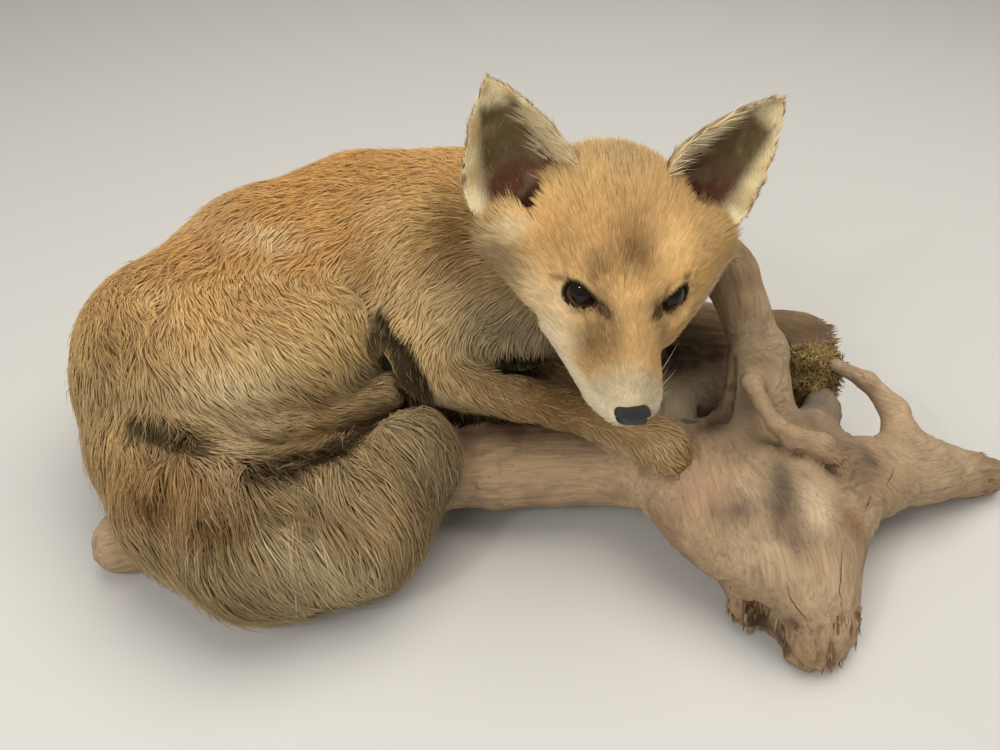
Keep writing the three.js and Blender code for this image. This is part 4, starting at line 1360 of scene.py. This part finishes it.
# Deep cracks, and the torn hollow of the lobe, as chains of stations on the bench.
CRACKS = (
    ((163, 276, 40, 0.6), (164, 270, 30, 1.4), (165, 265, 18, 3.0), (165, 261, 8, 4.2)),
    ((178, 336, 64, 1.0), (178, 320, 58, 2.2), (176, 304, 44, 2.6), (176, 296, 30, 1.4)),
    ((110, 398, 60, 6), (118, 410, 66, 6.5), (122, 418, 82, 4)),
    ((126, 384, 68, 3.2), (130, 396, 80, 3.0), (130, 404, 96, 1.8)),
    ((168, 398, 62, 2.0), (160, 408, 74, 3.0), (154, 414, 88, 2.0)),
)
TORN_HOLLOW = ((136, 300, 40, 4), (137, 290, 24, 10), (136, 280, 8, 12))


def relief(p):
    """How far the weathered surface lies inside the smooth one."""
    g, w = grain_of(p)
    lumps = 2.0 * noise(p / 26, 51) + 0.8 * noise(p / 11, 52)
    ridges = 1.0 * noise(g / 7, 53) + 0.55 * noise(g / 2.8, 54)
    split = np.abs(noise(g / 9, 55))
    cracks = 1.3 * np.exp(-(split / 0.04) ** 2) * ramp(noise(p / 30, 56), 0.05, 0.35)
    ends = 0
    for centre, reach in BROKEN_ENDS:
        torn = 2.6 * noise(g / 3.4, 57) + 1.2 * noise(p / 4, 58) + 1.2
        ends = ends + near(p, centre, (reach, reach, reach)) * torn
    rough = sum(w[i] * branch[4] for i, branch in enumerate(BRANCHES))
    return (lumps + ridges + cracks + ends) * rough


def weathered(p):
    """Distance to the root with its relief, cracks and flat foot."""
    d = wood(p) + relief(p)
    for line in CRACKS:
        d = carve(d, chain(p, line, 1) + 0.5 * noise(p / 5, 59), 1.5)
    hollow = chain(p, TORN_HOLLOW, 3) + 1.6 * noise(p / 6, 60)
    d = carve(d, hollow, 2.5)
    return np.maximum(d, 0.3 - p[:, 2])


# Stains of the wood, and painted shade in its gaps and hollows and under the leg, on the bench: centre,
# reach, colour and strength.
WOOD_STAINS_AND_SHADE = {
    # The back branch, brown and darkened as painted shade.
    "brown back branch in painted shade": ((150, 470, 70), (60, 30, 34), (0.20, 0.12, 0.056), 0.85),
    "dark end of the back branch": ((191, 454, 81), (24, 14, 17), (0.095, 0.058, 0.03), 0.9),
    "brown arch": ((124, 438, 130), (30, 28, 26), (0.24, 0.152, 0.078), 0.8),
    "grey arch": ((139, 408, 102), (18, 22, 24), (0.22, 0.155, 0.095), 0.8),
    # Painted shade in the gaps at the foot of and under the arch.
    "painted shade in the gap at the foot of the arch": ((120, 384, 68), (11, 12, 13), (0.022, 0.013, 0.007), 1.0),
    "painted shade in the gap under the arch": ((130, 424, 44), (14, 30, 26), (0.028, 0.016, 0.009), 0.9),
    "brown-grey behind the arch": ((136, 386, 79), (13, 10, 9), (0.19, 0.135, 0.085), 0.85),
    "grey film on the hub": ((128, 362, 78), (26, 18, 14), (0.20, 0.15, 0.10), 0.8),
    "plate": ((110, 424, 52), (24, 28, 16), (0.52, 0.41, 0.28), 0.9),
    "light stem": ((44, 352, 58), (56, 20, 18), (0.52, 0.36, 0.21), 0.65),
    "light loop": ((236, 408, 62), (20, 20, 20), (0.54, 0.385, 0.23), 0.65),
    "grey back plate": ((186, 412, 56), (26, 28, 20), (0.16, 0.13, 0.10), 0.95),
    "grey spot behind the spike": ((201, 359, 64), (11, 10, 9), (0.12, 0.09, 0.062), 0.9),
    "grey film behind the twig": ((180, 366, 68), (16, 16, 13), (0.19, 0.14, 0.095), 0.8),
    "dark streak": ((142, 320, 75), (11, 21, 13), (0.075, 0.052, 0.034), 0.95),
    "brown beside the twig": ((190, 346, 66), (13, 13, 12), (0.18, 0.12, 0.068), 0.85),
    "dull side of the lobe": ((168, 300, 52), (12, 14, 18), (0.24, 0.165, 0.095), 0.6),
    "lower streak": ((147, 302, 62), (7, 15, 13), (0.13, 0.09, 0.057), 0.9),
    "scraped patch": ((119, 317, 65), (13, 8, 10), (0.10, 0.066, 0.043), 0.88),
    "pinkish front": ((98, 334, 62), (22, 14, 20), (0.40, 0.25, 0.16), 0.75),
    "cream between the streaks": ((158, 314, 69), (10, 14, 12), (0.62, 0.47, 0.30), 0.8),
    "cream lobe": ((163, 284, 40), (22, 16, 22), (0.58, 0.42, 0.255), 0.7),
    "red-brown by the spike": ((178, 312, 61), (9, 9, 11), (0.25, 0.13, 0.066), 0.85),
    "light spike": ((262, 378, 40), (32, 16, 14), (0.46, 0.34, 0.205), 0.7),
    "knot": ((144, 274, 30), (5, 5, 5), (0.06, 0.033, 0.017), 0.95),
    # Painted shadow of the foreleg on the stem.
    "painted shadow of the leg on the stem": ((6, 378, 62), (84, 17, 12), (0.065, 0.037, 0.02), 0.95),
    # Painted shade in the hollow under the arch.
    "painted shade in the hollow under the arch": ((108, 460, 60), (60, 30, 34), (0.02, 0.011, 0.005), 0.98),
    "red-brown tear": ((134, 284, 18), (12, 13, 20), (0.045, 0.024, 0.012), 0.92),
}


WOOD_TAN = (0.39, 0.268, 0.152)
WOOD_PALE = (0.48, 0.35, 0.215)
WOOD_BROWN = (0.21, 0.138, 0.078)
WOOD_GREY = (0.20, 0.155, 0.105)
WOOD_HOLLOW = (0.22, 0.13, 0.07)
# Painted shade on the undersides of the wood.
WOOD_UNDERSIDE_SHADE = (0.22, 0.135, 0.08)
WOOD_TORN = (0.25, 0.135, 0.065)
WOOD_CRACK = (0.05, 0.03, 0.015)


def wood_colour(p, n):
    """Linear colour of the wood."""
    colour = np.broadcast_to(np.array(WOOD_TAN, np.float32), p.shape).copy()
    colour = mix(colour, WOOD_PALE, ramp(fractal(p / 45, 61), -0.2, 0.5))
    colour = mix(colour, WOOD_BROWN, 0.75 * ramp(fractal(p / 22, 62), 0.0, 0.55))
    colour = mix(colour, WOOD_GREY, 0.5 * ramp(fractal(p / 9, 64), 0.15, 0.6))
    colour = mix(colour, WOOD_HOLLOW, 0.5 * ramp(relief(p), 1.8, 4.0))
    # Painted shade: darker where the wood faces down.
    colour = mix(colour, WOOD_UNDERSIDE_SHADE, 0.55 * ramp(-n[:, 2], 0.1, 0.9))
    patchy = 0.97 + 0.3 * fractal(p / 9, 63)
    # Stains, and painted shade where it is named.
    for centre, reach, tone, strength in WOOD_STAINS_AND_SHADE.values():
        colour = mix(colour, tone, np.clip(strength * patchy, 0, 1) * near(p, centre, reach))
    for centre, reach in BROKEN_ENDS:
        colour = mix(colour, WOOD_TORN, 0.6 * near(p, centre, (reach * 0.7,) * 3))
    for line in CRACKS + (TORN_HOLLOW,):
        colour = mix(colour, WOOD_CRACK, 0.9 * ramp(-chain(p, line, 1), -1.2, 0.8))
    return colour


def make_wood():
    axes = grid(WOOD_BOX, WOOD_CELL)
    points, quads = nets(sampled(weathered, axes), axes)
    points, normals = settled(weathered, points, rounds=1, most=0.6)
    obj = mesh_object("driftwood", points, quads)
    paint(obj, wood_colour(points, normals))
    note(obj, "grain", grain_of(points)[0])
    dress(obj, "wood", "driftwood", *[n for n in ROOT_NODES if n != "root_moss"])


# Splinters at broken ends: middle, reach, direction, number, length and width.
SPLINTERS = (
    ((158, 276, 20), (14, 6, 12), (0.02, -0.45, -0.9), 110, 12, 1.5),
    ((174, 284, 26), (7, 7, 12), (0.05, -0.5, -0.85), 80, 12, 1.4),
    ((126, 299, 20), (6, 5, 12), (-0.02, -0.3, -0.95), 60, 11, 1.3),
    ((138, 286, 20), (9, 6, 14), (0.02, -0.3, -0.95), 90, 12, 1.3),
    ((172, 343, 80), (6, 5, 4), (0.8, -0.35, -0.45), 70, 10, 1.1),
    ((290, 398, 16), (8, 12, 8), (0.93, 0.2, -0.25), 90, 11, 1.4),
    ((203, 455, 66), (8, 16, 12), (0.95, 0.1, 0.1), 120, 10, 1.6),
    ((214, 425, 70), (4, 4, 3), (-0.8, 0.5, 0.2), 20, 7, 0.9),
)
# Thin cracks: the line that each follows over the surface, in stations on the bench.
THIN_CRACKS = (
    ((140, 286, 50), (142, 281, 44), (145, 278, 40), (149, 275, 36), (153, 272, 28)),
    ((169, 300, 60), (167, 291, 55), (166, 283, 47), (169, 279, 37)),
    ((219, 362, 55), (214, 355, 54), (210, 348, 53)),
    ((195, 336, 59), (192, 330, 58), (188, 324, 57)),
)


def surface_slide(p):
    """Bench points moved onto the weathered wood, and its normals there."""
    return settled(weathered, np.asarray(p, np.float32), rounds=8, most=4)


def make_splinters():
    """Torn fibres of the broken ends."""
    spines, widths, tones = [], [], []
    steps_along = np.linspace(0, 1, 4)
    for middle, reach, ahead, number, size, width in SPLINTERS:
        spread = (random.random((number, 3)) * 2 - 1) * np.array(reach)
        start, out = surface_slide(np.array(middle) + spread)
        way = unit(np.array(ahead) + 0.12 * random.standard_normal((number, 3)))
        long = size * (0.5 + 0.8 * random.random(number))
        run = (long[:, None] * (steps_along - 0.45))[..., None]
        line = (start - out * width * 0.45)[:, None] + way[:, None] * run
        line[:, :, 2] = np.maximum(line[:, :, 2], width * 0.6)
        spines.append(line)
        widths.append(tapered(width * (0.6 + 0.8 * random.random(number)), (0.8, 1, 0.7, 0.05)))
        tone = mix((0.36, 0.245, 0.14), (0.11, 0.062, 0.033), random.random(number))
        tones.append(np.repeat(tone[:, None], 4, axis=1))
    spines, widths, tones = (np.concatenate(a) for a in (spines, widths, tones))
    up = np.tile((0.1, -0.5, 0.86), (len(spines), 1))
    obj = strand_mesh("splinters", spines, widths, up, tones, any_places(len(spines)))
    dress(obj, "splinter", "driftwood")


def make_thin_cracks():
    """Thin dark strands laid into the surface."""
    lines, outs = [], []
    for stations in THIN_CRACKS:
        knots = np.linspace(0, len(stations) - 1, 40)
        order = np.arange(len(stations))
        line = np.stack([np.interp(knots, order, axis) for axis in np.array(stations).T], 1)
        line = line + 0.9 * np.stack([fractal(line / 6 + 5 * k, 65) for k in range(3)], 1)
        line, out = surface_slide(line)
        lines.append(line + 0.12 * out)
        outs.append(out.mean(0))
    n = len(lines)
    widths = tapered(np.full(n, 0.5), np.sin(np.linspace(0.15, np.pi, 40)))
    dark = np.tile((0.085, 0.052, 0.027), (n, 40, 1))
    obj = strand_mesh("thin_cracks", np.stack(lines), widths, unit(outs), dark, any_places(n))
    dress(obj, "splinter", "driftwood")


def moss_cushion(p):
    """Distance to a torn, spongy cushion."""
    return np.maximum(blob(p, *MOSS) + 4.5 + 3.2 * noise(p / 8, 71) + 1.6 * noise(p / 3, 72), 1 - p[:, 2])


def make_moss():
    """A spongy cushion under a mat of short curled stalks."""
    axes = grid(MOSS_BOX, MOSS_CELL)
    points, quads = nets(sampled(moss_cushion, axes), axes)
    points, normals = settled(moss_cushion, points)
    bed = mesh_object("moss_cushion", points, quads)
    paint(bed, mix((0.09, 0.06, 0.02), (0.26, 0.18, 0.07), ramp(noise(points / 4, 73), -0.5, 0.5)))
    roots, out = scattered(points, normals, quads, 0.95)
    keep = wood(roots) > -3
    roots, out = roots[keep], unit(out[keep])
    n = len(roots)
    ways = [unit(out * 0.5 + 0.9 * random.standard_normal((n, 3)))]
    for _ in range(2):
        ways.append(unit(ways[-1] + 0.8 * random.standard_normal((n, 3)) - 0.1 * out))
    size = (1.3 + 1.1 * random.random(n)).astype(np.float32)[:, None]
    spine = [roots - 0.5 * out]
    for way in ways:
        spine.append(spine[-1] + way * size)
    tone = mix((0.19, 0.13, 0.045), (0.42, 0.30, 0.125), random.random(n))
    tone = mix(tone, (0.13, 0.08, 0.035), 0.6 * ramp(noise(roots / 7, 74), 0.1, 0.6))
    colours = tone[:, None, :] * np.array([0.6, 0.9, 1.05, 1.15])[None, :, None]
    widths = tapered(0.55 + 0.35 * random.random(n), (0.9, 1, 0.8, 0))
    way = unit(roots - np.array(MOSS[0], np.float32))
    turn = np.arctan2(way[:, 1], way[:, 0]) / (2 * np.pi) + 0.5
    place = np.stack([turn, way[:, 2] / 2 + 0.5], 1) * 0.96 + 0.02
    stalks = strand_mesh("moss_stalks", np.stack(spine, 1), widths, out, colours, place)
    for obj in (stalks, bed):
        dress(obj, "moss", "moss", "root_moss")


# ---------------------------------------------------------------- eyes, nose, claws, whiskers
NOSE_CENTRE = (-1.6, -54, -19.6)
NOSE_RADII = (7.2, 6.6, 5.2)


def make_eye(node, side):
    """A glass eye with a dark pupil, a brown iris and an amber lower edge."""
    rings, turns = 48, 64
    a = np.linspace(0, np.pi, rings)
    b = np.linspace(0, 2 * np.pi, turns, endpoint=False)
    a, b = np.meshgrid(a, b, indexing="ij")
    ahead, along_axis, over = look(side)
    cornea = 1 + 0.045 * np.exp(-(a / 0.42) ** 2)
    ball = (np.cos(a)[..., None] * ahead + (np.sin(a) * np.cos(b))[..., None] * along_axis
            + (np.sin(a) * np.sin(b))[..., None] * over) * (EYE_RADIUS * cornea)[..., None]
    points = from_head(ball.reshape(-1, 3) + eye_place(side))
    i, j = np.meshgrid(np.arange(rings - 1), np.arange(turns), indexing="ij")
    this, below, following = i * turns, (i + 1) * turns, (j + 1) % turns
    quads = np.stack([this + j, below + j, below + following, this + following], -1).reshape(-1, 4)
    obj = mesh_object(node + "_glass", points, quads)
    angle = a.ravel()
    height = (ball.reshape(-1, 3) @ over) / EYE_RADIUS
    iris = mix((0.010, 0.005, 0.003), (0.075, 0.033, 0.012), ramp(-height, 0.05, 0.6))
    colour = mix((0.006, 0.004, 0.003), iris, ramp(angle, 0.30, 0.42))
    colour = mix(colour, (0.02, 0.012, 0.008), ramp(angle, 0.84, 0.98))
    paint(obj, colour)
    dress(obj, "eye", "eye", node)


def nose_pad(q):
    """Distance to the nose: a rounded pad with two nostrils and a groove down its middle."""
    narrow = 1 + 0.055 * np.clip(NOSE_CENTRE[2] - q[:, 2], -4, 6)
    across = (q[:, 0] - NOSE_CENTRE[0]) * narrow
    m = np.stack([np.abs(across), q[:, 1], q[:, 2] + 0.012 * across ** 2], 1)
    d = blob(m, (0, *NOSE_CENTRE[1:]), NOSE_RADII)
    d = smooth(d, blob(m, (5.0, -55.5, -19.2), (3.2, 4.4, 3.9)), 2)
    d = carve(d, limb(m, (3.9, -61.5, -18.5, 1.5), (6.8, -58.5, -17.2, 0.7)), 1)
    d = carve(d, limb(m, (6.8, -58.5, -18.2, 0.8), (8.8, -55, -20.0, 0.4)), 0.8)
    groove = 0.7 * np.exp(-(m[:, 0] / 0.7) ** 2) * ramp(-q[:, 1], 57, 60)
    return d + groove


def make_nose():
    axes = grid(NOSE_BOX, NOSE_CELL)
    q, quads = nets(sampled(nose_pad, axes), axes)
    q, _ = settled(nose_pad, q, rounds=1, most=0.2)
    obj = mesh_object("nose_pad", from_head(q), quads)
    # Painted shade: the nostrils and the groove, which lie inside the pad, are darker.
    deep = ramp(blob(q, NOSE_CENTRE, NOSE_RADII), -1.5, -0.3)
    paint(obj, mix((0.005, 0.005, 0.005), (0.022, 0.022, 0.023), deep))
    dress(obj, "nose", "nose", "nose")


def make_claws():
    """Curved claws on every toe, joined into one mesh."""
    spines = []
    for paw in PAWS.values():
        ahead = unit(paw["ahead"])
        for toe in toe_places(paw):
            start = toe + ahead * (TOE_RADIUS - 3.2) + np.array((0, 0, -0.6))
            spines.append([start + ahead * t * 7.5 + np.array((0, 0, -1)) * (0.6 * t + 3.2 * t * t)
                           for t in np.linspace(0, 1, 6)])
    spines = np.array(spines, np.float32)
    n = len(spines)
    widths = tapered(np.ones(n), (2.6, 2.7, 2.3, 1.7, 1.0, 0))
    up = np.tile((0.0, 0, 1.0), (n, 1))
    colours = np.tile(np.linspace(0.30, 0.12, 6)[None, :, None] * np.array([1, 0.84, 0.62]), (n, 1, 1))
    dress(strand_mesh("claws", spines, widths, up, colours, any_places(n)), "claw", "claw")


def make_whiskers():
    """Stiff hairs on the lips: short near the nose, long and swept back behind."""
    spines, colours = [], []
    t = np.linspace(0, 1, 7)[:, None]
    for side in (-1, 1):
        for i in range(11):
            row, place = divmod(i, 4)
            out = 9.5 + 1.2 * place + 0.8 * row
            start = np.array((side * out, -47 + 5.0 * place, -22 - 2.6 * row), float)
            size = 16 + 7 * place + 4 * random.random()
            rise = 0.12 - 0.28 * row + 0.12 * random.standard_normal()
            way = unit([side * (0.75 - 0.08 * place), 0.55 + 0.1 * place, rise])
            line = start + way * size * t + np.array((0, 0.10, -0.22)) * size * t * t
            spines.append(from_head(line))
            pale = random.random() < (0.25 if side < 0 else 0.6)
            colours.append(np.tile((0.5, 0.43, 0.3) if pale else (0.06, 0.04, 0.025), (7, 1)))
    n = len(spines)
    widths = tapered(np.full(n, 0.42), 1 - 0.85 * t[:, 0])
    up = np.tile(HEAD_AXES[:, 2], (n, 1))
    obj = strand_mesh("whiskers", np.array(spines, np.float32), widths, up, np.array(colours), any_places(n))
    dress(obj, "hair", "coat")


# ---------------------------------------------------------------- stage, lights and camera
CAMERA_AT = (0, 0, 396.45)                       # on the bench
CAMERA_RIGHT = (0.99993574, 0.00695181, 0.00895424)
CAMERA_DOWN = (0.01133605, -0.6132088, -0.78983952)
FOCAL_PIXELS = 901.94
SENSOR = 36
IMAGE_WIDTH = 1000
FLOOR_SIZE = 8000


def stand(obj, place, right, up, back):
    """Puts a camera or a light into the scene, looking against back."""
    bpy.context.scene.collection.objects.link(obj)
    turn = Matrix([[float(right[k]), float(up[k]), float(back[k])] for k in range(3)]).to_4x4()
    obj.matrix_world = Matrix.Translation(place) @ turn


def make_camera():
    data = bpy.data.cameras.new("camera")
    data.sensor_width = SENSOR
    data.lens = FOCAL_PIXELS * SENSOR / IMAGE_WIDTH
    obj = bpy.data.objects.new("camera", data)
    right = unit(CAMERA_RIGHT)
    up = -unit(CAMERA_DOWN)
    stand(obj, metres(CAMERA_AT), right, up, np.cross(right, up))
    bpy.context.scene.camera = obj


def make_light(name, place, target, size, power, colour=(1, 1, 1)):
    """A round lamp at a place in metres, turned to a target."""
    data = bpy.data.lights.new(name, "AREA")
    data.shape = "DISK"
    data.size = size
    data.energy = power
    data.color = colour
    obj = bpy.data.objects.new(name, data)
    back = unit(np.subtract(place, target))
    right = unit(np.cross((0, 1, 0.2), back))
    stand(obj, place, right, np.cross(back, right), back)
    return obj


def make_stage():
    """Floor, sky and lamps."""
    corners = np.array([[-1, -1, 0], [1, -1, 0], [1, 1, 0], [-1, 1, 0]]) * FLOOR_SIZE / 2 + ORIGIN
    floor = mesh_object("floor", corners, np.array([[0, 1, 2, 3]]), False)
    floor.data.materials.append(plain_material("floor", 0.7, 0.3, (0.62, 0.61, 0.58)))
    world = bpy.data.worlds.new("world")
    world.use_nodes = True
    sky = world.node_tree.nodes["Background"]
    sky.inputs[0].default_value = (1.0, 0.97, 0.93, 1)
    sky.inputs[1].default_value = 0.32
    bpy.context.scene.world = world
    key = make_light("key", (0.25, 0.1, 1.45), (0, 0, 0.05), 1.5, 19, (1.0, 0.96, 0.90))
    key.visible_glossy = False
    fill = make_light("fill", (-0.75, -1.05, 0.85), (0, 0, 0.1), 1.1, 8.5, (1.0, 0.98, 0.95))
    fill.visible_glossy = False
    make_light("spark", (-0.72, -0.94, 1.0), (0, -0.07, 0.17), 0.10, 2.2)
    bpy.context.scene.view_settings.view_transform = "Standard"


# ---------------------------------------------------------------- build
make_camera()
make_stage()
materials = {
    "coat": coat_material(),
    "skin": skin_material(),
    "wood": wood_material(),
    "moss": plain_material("moss", 0.9, 0.1),
    "splinter": plain_material("splinter", 0.75, 0.2),
    "eye": plain_material("eye", 0.06, 0.3),
    "nose": plain_material("nose", 0.34, 0.55, bump_size=0.0003, bump_scale=900),
    "claw": plain_material("claw", 0.35, 0.5),
    "hair": plain_material("whisker", 0.4, 0.4),
}
ROOT_NODES = [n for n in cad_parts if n.startswith("root_")]
FOX_NODES = [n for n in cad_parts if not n.startswith("root_")]

axes = [steps(lo, hi, BODY_CELL, (start, end, HEAD_CELL))
        for (lo, hi), (start, end) in zip(SKIN_BOX, FINE_BOX)]
skin_points, skin_quads = nets(sampled(skin, axes), axes)
skin_points, skin_normals = settled(skin, skin_points)

# The part that each face of the skin belongs to. The back of the head wears the neck's coat.
centres = skin_points[skin_quads].mean(1)
owner = distances(centres).argmin(0)
head_centres = to_head(centres)
on_ear = np.min([off_ear(head_centres, ear) for ear in EARS.values()], axis=0) < 1.2
on_ear &= owner == HEAD_PART
on_nape = (owner == HEAD_PART) & (head_centres[:, 1] > 80) & ~on_ear
owner[on_nape] = PART_NAMES.index("neck")
on_head = owner == HEAD_PART

make_skin()
make_wood()
make_splinters()
make_thin_cracks()
make_moss()
make_eye("eye_right", -1)
make_eye("eye_left", 1)
make_nose()
make_claws()
make_whiskers()
steer = Steer()
for name, coat in LONG_COATS.items():
    coat_long(name, *coat)
belly_fringe()
coat_head(3.1)
coat_ears(1.25)
